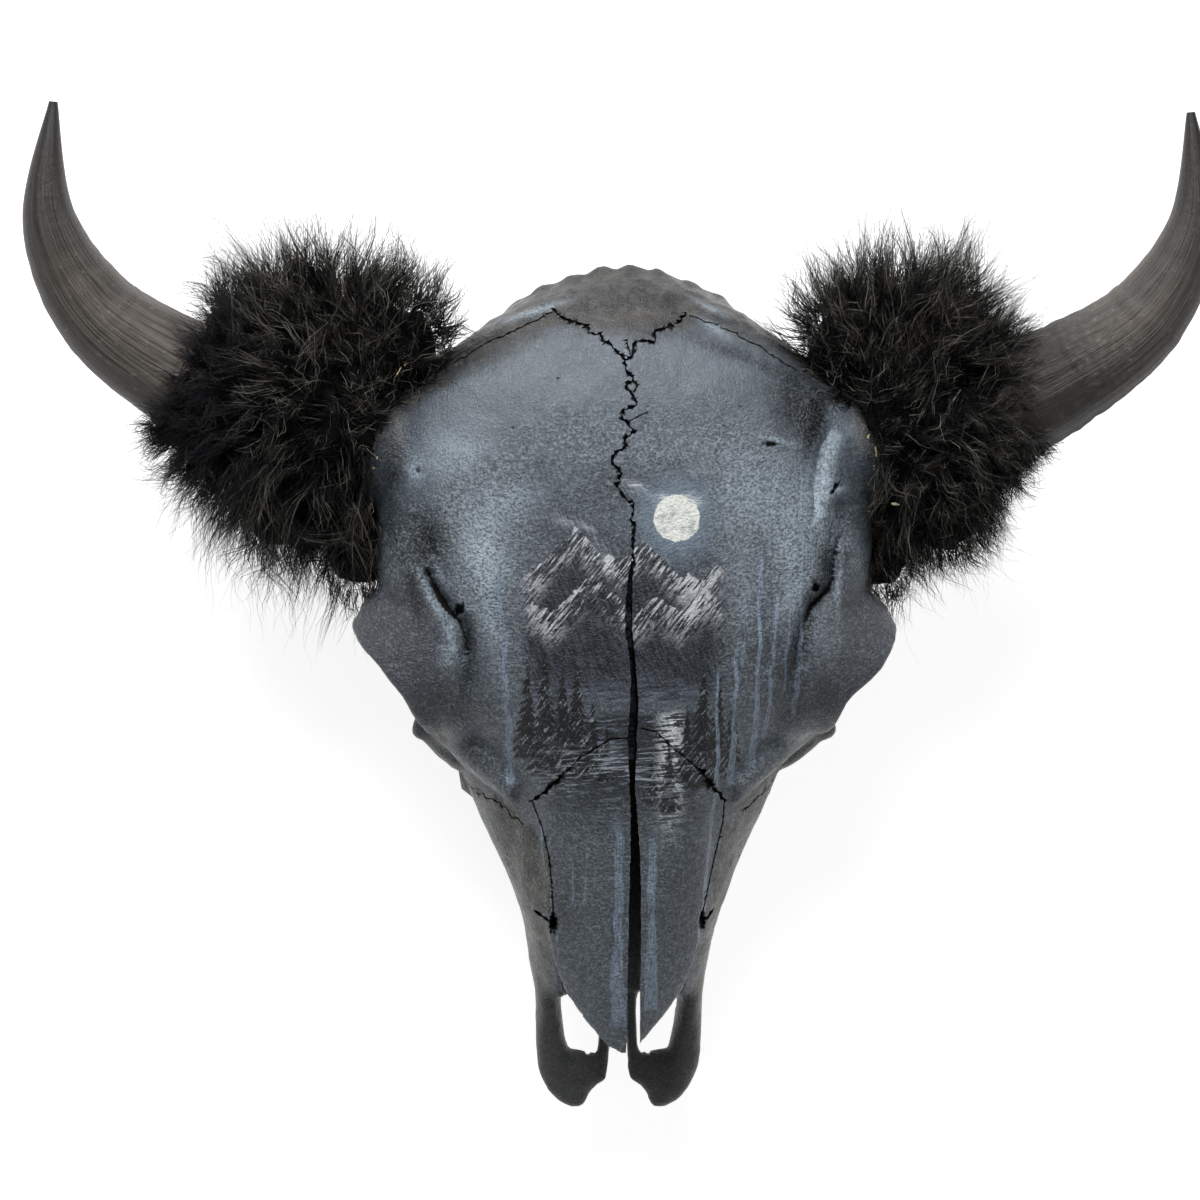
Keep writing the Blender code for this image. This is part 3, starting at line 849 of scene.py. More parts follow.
def thinHidden(obj, triangles):
    # thins the mesh, mostly where the photograph's side isn't
    spots, facing = readSpots(obj.data), readNormals(obj.data)
    shown = spots[:, 2] > np.where(spots[:, 1] < -180, 55, 90)
    hidden = 1 - skull["shownShare"] * smoothStep(facing[:, 2], -0.1, 0.25) * shown
    group = obj.vertex_groups.new(name="hidden")
    for level in np.unique(hidden.round(1)):
        chosen = np.nonzero(hidden.round(1) == level)[0].tolist()
        group.add(chosen, float(level), "REPLACE")
    thin = obj.modifiers.new("thin", "DECIMATE")
    thin.ratio = min(1, triangles / triangleCount(obj))
    thin.vertex_group = "hidden"
    thin.use_collapse_triangulate = True
    bake(obj)
    obj.vertex_groups.clear()


def midlineGap():
    # the open crack between the two nasal bones
    bm = bmesh.new()
    halves = [0.5, 1.7, 2.0, 1.5, 2.4, 2.5, 1.6, 2.1, 2.9, 3.6, 4.2]
    tops = [222, 222, 221, 218, 214, 209, 205, 200, 195, 190, 176]
    floors = [206, 202, 194, 182, 172, 165, 160, 154, 148, 138, 126]
    rows = [(*spot, half, top, low) for spot, half, top, low in zip(gapLine, halves, tops, floors)]

    def place(share, angle):
        x, y, half, top, low = rowAt(rows, share)
        side, upper = math.copysign(1, math.cos(angle + 0.7)), math.sin(angle + 0.7) > 0
        kink = 0.55 * ripple(0.3, y * 0.35, 2.1) + 0.3 * ripple(5.3, y, 0)
        edge = max(half + 0.35 * ripple(9 * side, y * 0.8, 0), 0.3)
        return (x + kink + side * edge, y, top if upper else low)

    tube(bm, 150, 4, place)
    return newPiece("midlineGap", bm)


# Paint of the skull

crownEdge = [  # the dark cap of the crown begins along this line, from left to right
    (-165, 84), (-140, 97), (-112, 118), (-84, 134), (-61, 147), (-41, 155), (-16, 154), (7, 150),
    (25, 154),
    (41, 159), (63, 152.5), (86, 144), (110, 126), (125, 108), (145, 82), (165, 68),
]
cheekEdges = {  # the sides of the snout are below these
    "left": [
        (-150, -62), (-114, -85), (-87, -103), (-61, -124), (-49, -136), (-44, -150), (-42, -170),
        (-41, -290),
    ],
    "right": [
        (150, -58), (123, -81), (86, -100), (66, -118), (58, -136), (52, -160), (46, -190), (44, -290),
    ],
}
drips = [  # top and bottom of each run of thin paint, its half width and strength
    ((-74, 34), (-66, -107), 2.0, 0.5),
    ((-68, -8), (-70.5, -60), 1.2, 0.45),
    ((50.5, -34), (52.5, -113), 1.3, 0.75),
    ((61, -22), (61, -107), 1.9, 0.7),
    ((66, 6), (65, -38), 1.2, 0.45),
    ((75, 34), (73.5, -96), 1.7, 0.75),
    ((85.5, 10), (80, -80), 1.6, 0.6),
    ((93, 24), (90, -52), 1.0, 0.5),
    ((99, 90), (98, -68), 1.3, 0.5),
    ((105, 60), (104, 18), 1.0, 0.4),
    ((-4.5, -120), (-3.5, -250), 3.8, 0.6),
    ((-30, -150), (-30, -176), 0.6, 0.45),
    ((-23, -142), (-23, -176), 0.6, 0.45),
    ((15.5, -128), (15.5, -240), 3.4, 0.6),
    ((53, -96), (45, -200), 1.5, 0.55),
    ((-51, -122), (-38, -205), 0.6, 0.4),
]
paleAndSheenSpots = [  # where the paint is pale, partly pale chipped paint and partly painted sheen and highlights on humps, lips and rims: x, y, radius across and along, turn and strength
    (-100, 82, 20, 15, 0, 0.5),
    (-121, 73, 5, 7, 0, 0.6),
    (-58, 56, 26, 10, 8, 0.55),
    (-81, 26, 13, 24, 10, 1.0),
    (-77, -12, 5, 34, 9, 0.6),
    (69, 60, 42, 26, 0, 0.5),
    (92, 18, 10, 30, 0, 0.75),
    (66, 0, 8, 22, 0, 0.5),
    (115, 84, 7.5, 30, -14, 0.75),
    (111, 50, 8, 18, 0, 0.7),
    (132, 25, 6, 14, 0, 0.4),
    (112, -20, 9, 18, 0, 0.4),
    (-99, -28, 7, 10, 0, 0.9),
    (-110, 1, 2.6, 19, 35, 1.1),
    (-107, 17, 2.2, 6, 20, 0.8),
    (120.5, 10, 1.8, 22, 0, 0.7),
    (-52, 166, 18, 2.4, 17, 0.7),
    (50, 156, 10, 2.6, -35, 0.6),
    (49, 168, 10, 2.2, -28, 0.5),
    (83, 91, 6, 1.0, -8, 1.2),
    (92, 88.5, 7, 1.0, -12, 1.0),
    (122, 63, 3.5, 2, 35, 1.0),
    (-78, -150, 8, 40, 14, 0.3),
    (80, -150, 8, 40, -14, 0.3),
]
blackAndShadeSpots = [  # where it is black, partly black paint and partly painted shade in hollows, folds, under ridges and beside the fur
    (-134, 86, 9, 48, 0, 1.0),
    (-112, 130, 34, 9, 22, 0.9),
    (-113, 34, 12, 15, 0, 1.2),
    (-121, 4, 4, 20, 12, 1.0),
    (-90, -28, 4, 20, 0, 1.0),
    (-98, -58, 26, 11, -15, 0.6),
    (97, 112, 20, 24, 10, 1.0),
    (60, 141, 34, 4.5, -20, 0.75),
    (106, 98, 6, 22, -14, 0.8),
    (124, 48, 8, 12, 0, 0.7),
    (139, 74, 6, 36, 0, 0.8),
    (106, -58, 22, 9, 20, 0.5),
    (63, -34, 40, 34, 0, 0.35),
    (-95, -86, 28, 8, -28, 1.0),
    (112, -90, 24, 8, 26, 0.8),
    (99, -23, 5, 28, -22, 0.8),
    (113, 22, 4, 16, 0, 0.8),
    (-38, -178, 12, 26, 0, 0.4),
    (36, -160, 14, 40, 0, 0.35),
]


def spotShare(flat, rows):
    total = np.zeros(len(flat))
    for x, y, across, along, turn, strength in rows:
        angle = math.radians(turn)
        off = flat - (x, y)
        first = off[:, 0] * math.cos(angle) + off[:, 1] * math.sin(angle)
        second = off[:, 1] * math.cos(angle) - off[:, 0] * math.sin(angle)
        total += strength * np.exp(-(first / across) ** 2 - (second / along) ** 2)
    return np.clip(total, 0, 1.2)


def markZones(obj):
    # the zones that the paint needs, one number a point
    mesh = obj.data
    spots = readSpots(mesh)
    flat = spots[:, :2]
    far, side, _ = nearLine(flat, crownEdge)
    storeValues(mesh, "crown", np.clip(far * side, -90, 20))
    far, side, _ = nearLine(flat, cheekEdges["left"])
    cheek = far * np.where(flat[:, 0] < 0, -side, -1)
    far, side, _ = nearLine(flat, cheekEdges["right"])
    cheek = np.where(flat[:, 0] > 0, far * side, cheek)
    storeValues(mesh, "cheek", np.clip(cheek, -20, 20))
    # pale paint with painted sheen and highlights, and black paint with painted shade
    storeValues(mesh, "pale", spotShare(flat, paleAndSheenSpots))
    storeValues(mesh, "dark", spotShare(flat, blackAndShadeSpots))


def nightPicture(p, under):
    # a moonlit lake under snowy mountains, in loose brush strokes
    wobble = p.noise(5.5, 3, away=3) - 0.5
    x = p.x + wobble * 3.2
    y = p.y + (p.noise(6, 3, away=9) - 0.5) * 3.6
    bristle = p.noise(1.1, 3, stretch=(1, 9, 3), turn=24, away=2, rough=0.7)
    sweepUp = p.noise(1.3, 3, stretch=(1, 8, 3), turn=-38, away=6, rough=0.7)
    flatStroke = p.noise(1.5, 3, stretch=(9, 1, 3), turn=4, away=8, rough=0.65)
    cloud = p.noise(17, 4, stretch=(2.2, 1, 1), turn=-14, away=4)
    picture = under

    def over(mask, colour):
        nonlocal picture
        picture = p.blend(mask, picture, colour)

    # sky
    glowX, glowY = x - 27, y - 46
    reach = p.run("SQRT", glowX * glowX + glowY * glowY)
    skyEdge = p.step(abs(p.x + 3) + (bristle - 0.5) * 34, 64, 40)
    skyEdge = skyEdge * p.step(p.y + (bristle - 0.5) * 26, 88, 66)
    skyEdge = skyEdge * p.step(p.y, -36, -10)
    over(skyEdge * p.step(cloud, 0.36, 0.62, 0.35, 0.8), tint(38, 43, 53))
    over(skyEdge * p.step(cloud + (bristle - 0.5) * 0.4, 0.5, 0.72, 0, 0.72), tint(150, 158, 168))
    over(skyEdge * p.step(reach + (bristle - 0.5) * 18, 32, 12, 0, 0.6), tint(118, 136, 152))
    over(skyEdge * p.step(cloud + (flatStroke - 0.5) * 0.5, 0.62, 0.8, 0, 0.7), tint(206, 212, 214))
    over(p.step(reach, 13.6, 12.6), tint(222, 224, 218))
    over(p.step(reach, 13.2, 12.2) * p.step(p.noise(6, 3, away=1), 0.5, 0.68, 0, 0.6), tint(150, 156, 162))

    # two ranges of mountains, each a row of peaks: x, height and steepness
    ranges = [
        ([
            (-47, 22, 0.75), (-30, 41, 1.05), (-12, 27, 0.8), (8, 34, 0.95), (34, 15, 0.7), (50, 20, 0.9),
        ], -22, 5),
        ([(-55, 0, 0.6), (-20, 14, 0.9), (16, 2, 0.7), (44, 6, 0.85)], -58, 14),
    ]
    for peaks, foot, away in ranges:
        crag = (p.noise(5, 4, away=away) - 0.5) * 7
        ridge = p.most([high - abs(x - middle) * steep for middle, high, steep in peaks]) + crag
        depth = ridge - y
        body = p.step(depth, -0.5, 0.7) * p.step(y, foot - 8, foot + 6)
        body = body * p.step(abs(p.x + 3) + (bristle - 0.5) * 26, 63, 46)
        over(body * 0.96, p.blend(p.step(bristle, 0.4, 0.65), tint(20, 23, 29), tint(62, 68, 79)))
        lit = p.step(sweepUp + (cloud - 0.5) * 0.5, 0.45, 0.6) * p.step(depth + (sweepUp - 0.5) * 22, 26, 5)
        over(body * lit * 0.95, p.blend(flatStroke, tint(160, 168, 180), tint(236, 238, 238)))
        haze = p.step(y + (flatStroke - 0.5) * 14, foot + 20, foot) * p.step(flatStroke, 0.38, 0.66)
        over(body * haze * 0.6, tint(128, 140, 154))

    # lake, with the moon's light on it
    lake = p.step(p.y + (bristle - 0.5) * 8, -60, -68) * p.step(p.y + (bristle - 0.5) * 60, -150, -96)
    lake = lake * p.step(abs(p.x) + (flatStroke - 0.5) * 30, 52, 36)
    over(lake * 0.85, tint(24, 28, 36))
    over(lake * p.step(flatStroke, 0.52, 0.66) * 0.7, tint(122, 134, 150))
    glitter = p.step(abs(x - 25) + (flatStroke - 0.5) * 26, 13, 3)
    over(lake * glitter * p.step(flatStroke + (bristle - 0.5) * 0.3, 0.46, 0.56), tint(218, 224, 226))

    # fir trees: x, foot, height and half width
    trees = [
        (-57, -92, 58, 10), (-47, -102, 76, 12), (-37, -97, 60, 10), (-29, -103, 70, 11), (-20, -98, 44, 8),
        (-12, -104, 34, 7), (52, -104, 60, 10), (43, -110, 74, 12), (34, -106, 46, 8), (60, -96, 40, 8),
        (14, -118, 30, 6), (24, -122, 40, 8),
    ]
    boughs = []
    for middle, foot, high, half in trees:
        up = (y - foot) / high
        shelf = p.run("FRACT", (y + middle) / 5.2 + abs(p.x - middle) * 0.09)
        edge = (1 - up) * half * (1.08 - shelf * 0.62) - abs(p.x - middle + wobble * 2)
        boughs.append(p.step(edge, -0.5, 0.5) * p.step(up, -0.02, 0.05))
    forest = p.most(boughs)
    over(forest * 0.97, tint(10, 12, 15))
    over(forest * p.step(sweepUp + (bristle - 0.5) * 0.4, 0.55, 0.68) * 0.85, tint(150, 158, 166))
    mist = p.step(flatStroke + (cloud - 0.5) * 0.8, 0.5, 0.72) * p.step(abs(p.y + 98), 22, 4)
    over(mist * p.step(abs(p.x), 62, 34) * 0.8, tint(158, 168, 178))
    return picture


def paintBone():
    p = Paint("paintedBone")
    peel = p.noise(1.6, 3, away=1, rough=0.6)
    pore = p.noise(0.85, 2, away=12)
    speck = p.noise(0.75, 2, away=30, rough=0.7)
    clot = p.noise(3.4, 4, away=50, rough=0.7)
    cloud = p.noise(42, 4, away=6)
    mottle = p.noise(9, 4, away=17)
    stroke = p.noise(3.2, 4, stretch=(1, 7, 3), turn=6, away=21, rough=0.65)
    crown, cheek, crack = p.own("crown"), p.own("cheek"), p.own("crack")
    pale, dark = p.own("pale"), p.own("dark")

    colour = p.blend(p.step(cloud, 0.34, 0.66), tint(62, 69, 77), tint(85, 93, 102))
    colour = p.layer(colour, stroke, 0.45, 0.75, 0.3, tint(106, 114, 125))
    colour = p.layer(colour, mottle, 0.54, 0.74, 0.35, tint(46, 49, 55))
    nose = p.step(p.y + (mottle - 0.5) * 20, -84, -124)
    colour = p.blend(nose * 0.85, colour, p.blend(stroke, tint(18, 20, 23), tint(46, 50, 56)))

    # painted sheen: a lighter band below the crown's cap, where light from above catches the forehead's
    # curve
    paintedSheenBand = p.step(abs(p.most([crown + 20, 0.0]) + (stroke - 0.5) * 12), 24, 8)
    paintedSheenBand = paintedSheenBand * p.step(abs(p.x + 8), 132, 70)
    colour = p.blend(paintedSheenBand * 0.6, colour, tint(100, 109, 118))

    eyes = p.step(abs(p.x) + (mottle - 0.5) * 22, 96, 116) * p.step(p.y, 24, -10)
    colour = p.blend(eyes * 0.8, colour, p.blend(mottle, tint(52, 54, 60), tint(82, 85, 92)))
    swirl = p.noise(14, 4, stretch=(1, 2.6, 1.5), turn=-20, away=25)
    under = p.blend(p.step(swirl, 0.38, 0.62), tint(38, 37, 34), tint(84, 82, 75))
    under = p.layer(under, stroke, 0.5, 0.75, 0.5, tint(116, 113, 105))
    under = p.layer(under, mottle, 0.54, 0.66, 0.6, tint(26, 25, 24))
    cheekShare = p.step(cheek + (mottle - 0.5) * 12, -3, 6)
    colour = p.blend(cheekShare, colour, under)

    cap = p.blend(p.step(mottle, 0.35, 0.65), tint(36, 35, 34), tint(60, 58, 56))
    streak = p.noise(4, 3, stretch=(6, 1, 1), turn=-12, away=40)
    cap = p.layer(cap, streak, 0.56, 0.7, 0.4, tint(92, 90, 87))
    soft = p.step(abs(p.x), 30, 70, 5, 9)
    capShare = p.step((crown + (mottle - 0.5) * 12 + (peel - 0.5) * 26) / soft, -1, 1)
    colour = p.blend(capShare, colour, cap)

    gritty = p.step(crown + (mottle - 0.5) * 24, -32, -62, 0.25, 1) * (1 - capShare * 0.2)
    # pale paint and painted sheen where the pale zones are, broken up by the peel
    light = pale * p.step(peel + (mottle - 0.5) * 0.3, 0.36, 0.6, 0.4, 1)
    colour = p.blend(light, colour, tint(158, 172, 184))
    grain = peel + (pore - 0.5) * 0.4 + (clot - 0.5) * 0.7
    # pale specks in the grain, partly dry-brushed paint and partly painted glints
    glintAndDryBrush = p.step(grain, 0.5, 0.68, 0, 0.42) * gritty * (1 - nose * 0.4 - eyes * 0.5)
    colour = p.blend(glintAndDryBrush, colour, tint(166, 176, 180))
    darkGrain = p.step(grain, 0.5, 0.32, 0, 0.42) * gritty * (1 - eyes * 0.5)
    colour = p.blend(darkGrain, colour, tint(16, 18, 21))
    # near-black beside the fur and in the black spots, partly black overspray and partly painted shade from
    # the fur and the hollows, laid as patches and specks
    nearFurBlackAndShade = p.step(abs(p.x) + (mottle - 0.5) * 30, 124, 150) * p.step(p.y, 12, 48)
    black = p.most([nearFurBlackAndShade * 0.8, dark])
    patches = black * p.step(peel + (speck - 0.5) * 0.5, 0.62, 0.4, 0.5, 0.95)
    colour = p.blend(patches, colour, tint(9, 9, 10))
    blackAndShadeSpeckle = p.step(black + (cloud - 0.5) * 0.8, -0.05, 0.5, 0.15, 1)
    colour = p.blend(p.step(speck, 0.6, 0.68) * blackAndShadeSpeckle * 0.85, colour, tint(14, 14, 16))

    colour = nightPicture(p, colour)

    runs, beads = [], []
    for (topX, topY), (endX, endY), half, strength in drips:
        down = (topY - p.y) / (topY - endY)
        line = topX + down * (endX - topX) + (p.noise(22, 1, away=topX) - 0.5) * 5
        wide = p.step(down, 0.5, 0.98, half * 0.7, half * 1.2)
        run = p.step(abs(p.x - line) - wide, 0.35, -0.45)
        run = run * p.step(down, 0, 0.16) * p.step(down, 1.02, 0.985)
        runs.append(run * strength)
        beads.append(run)
    dripping, bead = p.most(runs), p.most(beads)
    thread = p.noise(0.9, 3, stretch=(1, 26, 3), away=33, rough=0.7)
    colour = p.blend(bead * p.step(thread, 0.5, 0.38, 0, 0.5), colour, tint(24, 27, 33))
    grainy = p.step(thread, 0.36, 0.58, 0.35, 1.05) * p.step(grain, 0.36, 0.54, 0.6, 1.05)
    colour = p.blend(dripping * grainy, colour, tint(144, 162, 182))

    bare = p.step(p.z, 112, 92)
    colour = p.blend(bare * 0.75, colour, p.blend(mottle, tint(36, 35, 34), tint(72, 69, 65)))
    wall = p.split(p.add("ShaderNodeNewGeometry").outputs["True Normal"])[2]
    inGap = p.step(abs(wall), 0.5, 0.25) * p.step(abs(p.x - 4), 12, 9)
    inGap = inGap * p.step(p.y, 26, 22) * p.step(p.z, 90, 110)
    colour = p.blend(p.most([p.step(crack, 0.25, 0.7), inGap]), colour, tint(11, 11, 8))

    roughness = p.step(mottle, 0.3, 0.7, 0.24, 0.4) + p.step(crack, 0.2, 0.7, 0, 0.45)
    roughness = roughness + (speck - 0.5) * 0.15
    height = (peel - 0.5) * p.step(gritty, 0.2, 1, 0.5, 1.5) + (pore - 0.5) * 0.4
    height = height + (stroke - 0.5) * 0.25 + bead * 0.18
    return p.finish(colour, roughness, height, Specular_IOR_Level=0.36)


def makeSkull():
    bm = bmesh.new()
    addBones(bm)
    obj = newPiece("paintedSkull", bm)
    fuse(obj, skull["voxel"], skull["softening"])
    bm = bmesh.new()
    addHollows(bm)
    cutAway(obj, newPiece("hollows", bm))
    fuse(obj, skull["fineVoxel"], skull["fineSoftening"])
    trimSides(obj)
    for settings in skull["lumps"]:
        roughen(obj, *settings)
    bake(obj)
    carveNape(obj)
    thinHidden(obj, skull["triangles"])
    print("skull thinned to", triangleCount(obj), "triangles")
    refineSeams(obj, skull["seamReach"], skull["seamPasses"])
    carveFace(obj)
    cutAway(obj, midlineGap())
    bm = bmesh.new()
    box(bm, (-200, -400, -60), (200, 300, 0))
    for side in sides.values():
        sweep(bm, mirrored(palateSlot, side), rings=14, around=16)
    cutAway(obj, newPiece("underCuts", bm))
    markZones(obj)
    dress(obj, paintBone(), skull["sharp"])
    ready(obj, "painted_bone", "skull")
    print("skull", triangleCount(obj), "triangles")
    return obj


paintedSkull = makeSkull()

# Horns

horn = {
    "start": 0.155,
    "hollowEnd": 0.55,
    "wall": 5,
    "sharp": 60,  # degrees
    "around": 84,
    "rings": 170,
    "innerShare": 0.22,  # share of the rings that lie in the hollow
}


def hornSkin(side, seed):
    # out of the hollow, over the rim of the base and along to the tip
    def place(share, angle):
        inner = horn["innerShare"]
        if share < inner:
            along = horn["hollowEnd"] + (horn["start"] - horn["hollowEnd"]) * share / inner
            change = -horn["wall"]
        else:
            out = (share - inner) / (1 - inner)
            along = horn["start"] + (1 - horn["start"]) * out ** 0.92
            fibre = ripple(math.cos(angle) * 5, math.sin(angle) * 5, along * 3 + seed)
            fine = ripple(math.cos(angle) * 17, math.sin(angle) * 17, along * 5 + seed)
            ring = ripple(seed, 2, along * 38) + 0.5 * ripple(seed, 5, along * 90)
            worn = 1 - float(smoothStep(along, 0.5, 0.95))
            change = worn * (0.9 * fibre + 0.45 * fine + 0.8 * ring) - 0.5
        x, y, z, radius = rowAt(hornPath, along)
        radius = max(radius + change * min(1, radius / 12), 0.5)
        across, above, _ = directions(spotOn(hornPath, along + 0.01), spotOn(hornPath, along - 0.01))
        spot = Vector((x, y, z)) + (across * math.cos(angle) + above * math.sin(angle)) * radius
        return Vector((side * spot.x, spot.y, spot.z))
    return place


def hornKeratin():
    p = Paint("hornKeratin")
    grain = p.add("ShaderNodeAttribute", attribute_name="grain").outputs["Vector"]
    along = p.split(grain)[2]
    threads = p.move("MULTIPLY", grain, (1, 1, 0.35))
    fibre = p.noise(0.045, 4, on=threads, rough=0.65)
    broad = p.noise(0.3, 3, on=threads, away=0.4)
    chip = p.noise(3.5, 4, away=4)
    colour = p.blend(p.step(fibre, 0.3, 0.7), tint(40, 37, 36), tint(104, 97, 90))
    colour = p.layer(colour, broad, 0.4, 0.65, 0.6, tint(52, 46, 42))
    colour = p.layer(colour, chip, 0.6, 0.75, 0.5, tint(134, 124, 112))
    # darker in the horn's hollow and towards its base, and further out along the right horn
    darkerNearBase = along - p.step(p.x, -1, 1, 0, 0.13) + (chip - 0.5) * 0.2
    colour = p.layer(colour, darkerNearBase, 0.52, 0.38, 0.85, tint(27, 23, 20))
    colour = p.layer(colour, along, 0.62, 0.98, 0.85, tint(24, 22, 22))
    roughness = p.step(fibre, 0.3, 0.7, 0.42, 0.62) - p.step(along, 0.6, 1, 0, 0.14)
    height = ((fibre - 0.5) * 1.1 + (broad - 0.5) * 0.6) * p.step(along, 1.0, 0.55, 0.15, 1)
    height = height + (chip - 0.5) * 0.25
    return p.finish(colour, roughness, height, Specular_IOR_Level=0.45)


def makeHorns():
    keratin = hornKeratin()
    for order, (name, side) in enumerate(sides.items()):
        bm = bmesh.new()
        bm.verts.layers.float_vector.new("grain")
        tube(bm, horn["rings"], horn["around"], hornSkin(side, 3.7 * order))
        obj = newPiece(name + "HornSheath", bm)
        dress(obj, keratin, horn["sharp"])
        ready(obj, "horn_sheath", name + "_horn")
    print("horns made")


makeHorns()


# Cheek teeth

teeth = {
    "biteSlope": math.tan(math.radians(10)),
    "biteY": 4,
    "crown": 17,
    "root": 8,
    "sharp": 50,  # degrees
    "each": [  # name, y of its middle, length along the row, width
        ("premolar_2", -131, 14, 14),
        ("premolar_3", -114, 17, 17),
        ("premolar_4", -95.5, 17, 20),
        ("molar_1", -73.5, 24, 24),
        ("molar_2", -45.5, 29, 26),
        ("molar_3", -11.5, 36, 25),
    ],
}


def biteZ(y):
    return max((teeth["biteY"] - y) * teeth["biteSlope"], 0)


def addTooth(bm, side, name, y, length, width):
    # lobed crown, whose chewing face has crescent ridges round two pits
    lobes = 3 if name == "molar_3" else 2 if name.startswith("molar") else 1

    def place(share, angle):
        # the first part of the tube draws in across the chewing face
        chew = min(share / 0.35, 1)
        up = max(share - 0.35, 0) / 0.65
        swing = rounded(math.sin(angle), 3.4)
        dent = 0.1 * math.cos(math.pi * lobes * swing) if lobes > 1 else 0
        waist = 1 - 0.16 * max(up - 0.55, 0)
        across = width / 2 * waist * (0.92 - dent * abs(math.cos(angle))) * chew
        at = y + length / 2 * 0.985 * waist * swing * chew
        x = 53 - 0.0009 * (at + 30) ** 2 + across * rounded(math.cos(angle), 3.4)
        crescent = 1.1 * math.cos(chew * 15) * (1 - chew) ** 0.3 if chew < 1 else 0
        ridges = 0.6 * math.cos(4 * math.pi * lobes * swing) * (1 - up) * 0.5
        z = biteZ(at) + 1.0 - crescent * 0.8 + ridges
        return (side * x, at, max(z, 0.25) + (teeth["crown"] + teeth["root"]) * up)

    tube(bm, 26, 40, place)


def toothEnamel():
    p = Paint("toothEnamel")
    streak = p.noise(1.6, 4, stretch=(1, 1, 7), away=2)
    stain = p.noise(7, 4, away=9)
    colour = p.blend(p.step(streak, 0.3, 0.7), tint(176, 158, 122), tint(226, 216, 192))
    colour = p.layer(colour, stain, 0.48, 0.7, 0.8, tint(104, 82, 54))
    low = p.z + (p.y - teeth["biteY"]) * teeth["biteSlope"]
    colour = p.layer(colour, low, 3.2, 1.2, 0.6, tint(92, 72, 48))
    roughness = p.step(stain, 0.3, 0.7, 0.26, 0.5)
    return p.finish(colour, roughness, (streak - 0.5) * 0.5, Specular_IOR_Level=0.55)


def makeTeeth():
    enamel = toothEnamel()
    for sideName, side in sides.items():
        bm = bmesh.new()
        for tooth in teeth["each"]:
            addTooth(bm, side, *tooth)
        obj = newPiece(sideName + "CheekTeeth", bm)
        dress(obj, enamel, teeth["sharp"])
        ready(obj, "tooth", *[f"{sideName}_{tooth[0]}" for tooth in teeth["each"]])
    print("teeth made")


makeTeeth()


# Fur collars

fur = {
    "start": 0.13,  # the mat's two ends, as shares of the horn's path
    "end": {"left": 0.49, "right": 0.43},
    "matRadii": {"left": [50, 57, 59, 57, 52, 46, 42], "right": [50, 57, 59, 57, 51, 42, 33]},
    "matVoxel": 3.4,
    "matLumps": [("MatLumps", 13, 9), ("MatTufts", 4.5, 3)],  # name, size and strength
    "tufts": {  # centre, radii, share of the strands and how long they are
        "left": [
            ((131, 142, 158), (27, 36, 32), 0.15, 1.0),
            ((154, 36, 140), (26, 34, 30), 0.1, 0.8),
            ((194, 58, 148), (34, 34, 28), 0.08, 0.9),
            ((241, 114, 163), (30, 38, 40), 0.14, 0.24),
            ((178, 152, 156), (46, 32, 28), 0.17, 1.0),
        ],
        "right": [
            ((131, 142, 158), (27, 36, 32), 0.15, 1.0),
            ((152, 36, 140), (24, 34, 30), 0.1, 0.8),
            ((188, 58, 146), (32, 34, 28), 0.13, 0.75),
            ((166, 152, 156), (42, 32, 28), 0.17, 1.0),
        ],
    },
    "boneHalf": 156,  # hair nearer the middle than this, and above the low line, is kept off the bone
    "boneLow": -60,
    "clearance": 0.4,  # strands nearer the bone than this are lifted off it
    "lift": 0.6,
    "rootDepth": 6,  # hair rooted deeper in the bone than this goes
    "guides": 1500,
    "ceiling": 244,  # strands bend over above this height
    "seed": 11,
    "kinds": {  # strands a collar, steps, length beside the guide's, closing of locks, frizz, thickness
        "Undercoat": (8600, 3, 0.75, 0.1, 6.0, 0.34),
        "Guard": (5600, 5, 1.0, 0.35, 6.5, 0.24),
        "Locks": (3800, 6, 1.2, 0.72, 4.5, 0.2),
        "Wisps": (1500, 8, 1.45, 0.2, 13.0, 0.12),
    },
}
furLie = {  # x, y, the way the hair lies there, seen from above, and its length
    "left": [
        (-92, 178, 0.75, 0.7, 34),
        (-122, 186, 0.15, 1.0, 52),
        (-172, 190, -0.05, 1.0, 68),
        (-222, 180, -0.15, 1.0, 52),
        (-258, 146, -0.8, 0.35, 18),
        (-268, 112, -0.9, -0.2, 14),
        (-186, 130, -0.7, 0.1, 54),
        (-226, 80, -0.45, -0.9, 46),
        (-232, 46, -0.2, -1.0, 58),
        (-198, 42, 0.0, -1.0, 58),
        (-162, 0, 0.1, -1.0, 48),
        (-146, 4, 0.15, -1.0, 50),
        (-137, 60, 0.2, -0.95, 40),
        (-132, 118, 0.3, 0.2, 28),
    ],
    "right": [
        (96, 172, -0.7, 0.7, 34),
        (130, 186, -0.1, 1.0, 50),
        (176, 188, 0.35, 1.0, 66),
        (214, 176, 0.55, 0.85, 50),
        (240, 140, 0.9, 0.3, 15),
        (172, 128, 0.75, 0.3, 52),
        (226, 88, 0.7, -0.5, 13),
        (200, 44, 0.35, -0.95, 38),
        (166, 4, 0.05, -1.0, 38),
        (142, 60, -0.1, -0.95, 38),
        (133, 116, -0.35, 0.35, 28),
    ],
}


def unit(vectors):
    return vectors / np.maximum(np.linalg.norm(vectors, axis=-1, keepdims=True), 1e-9)


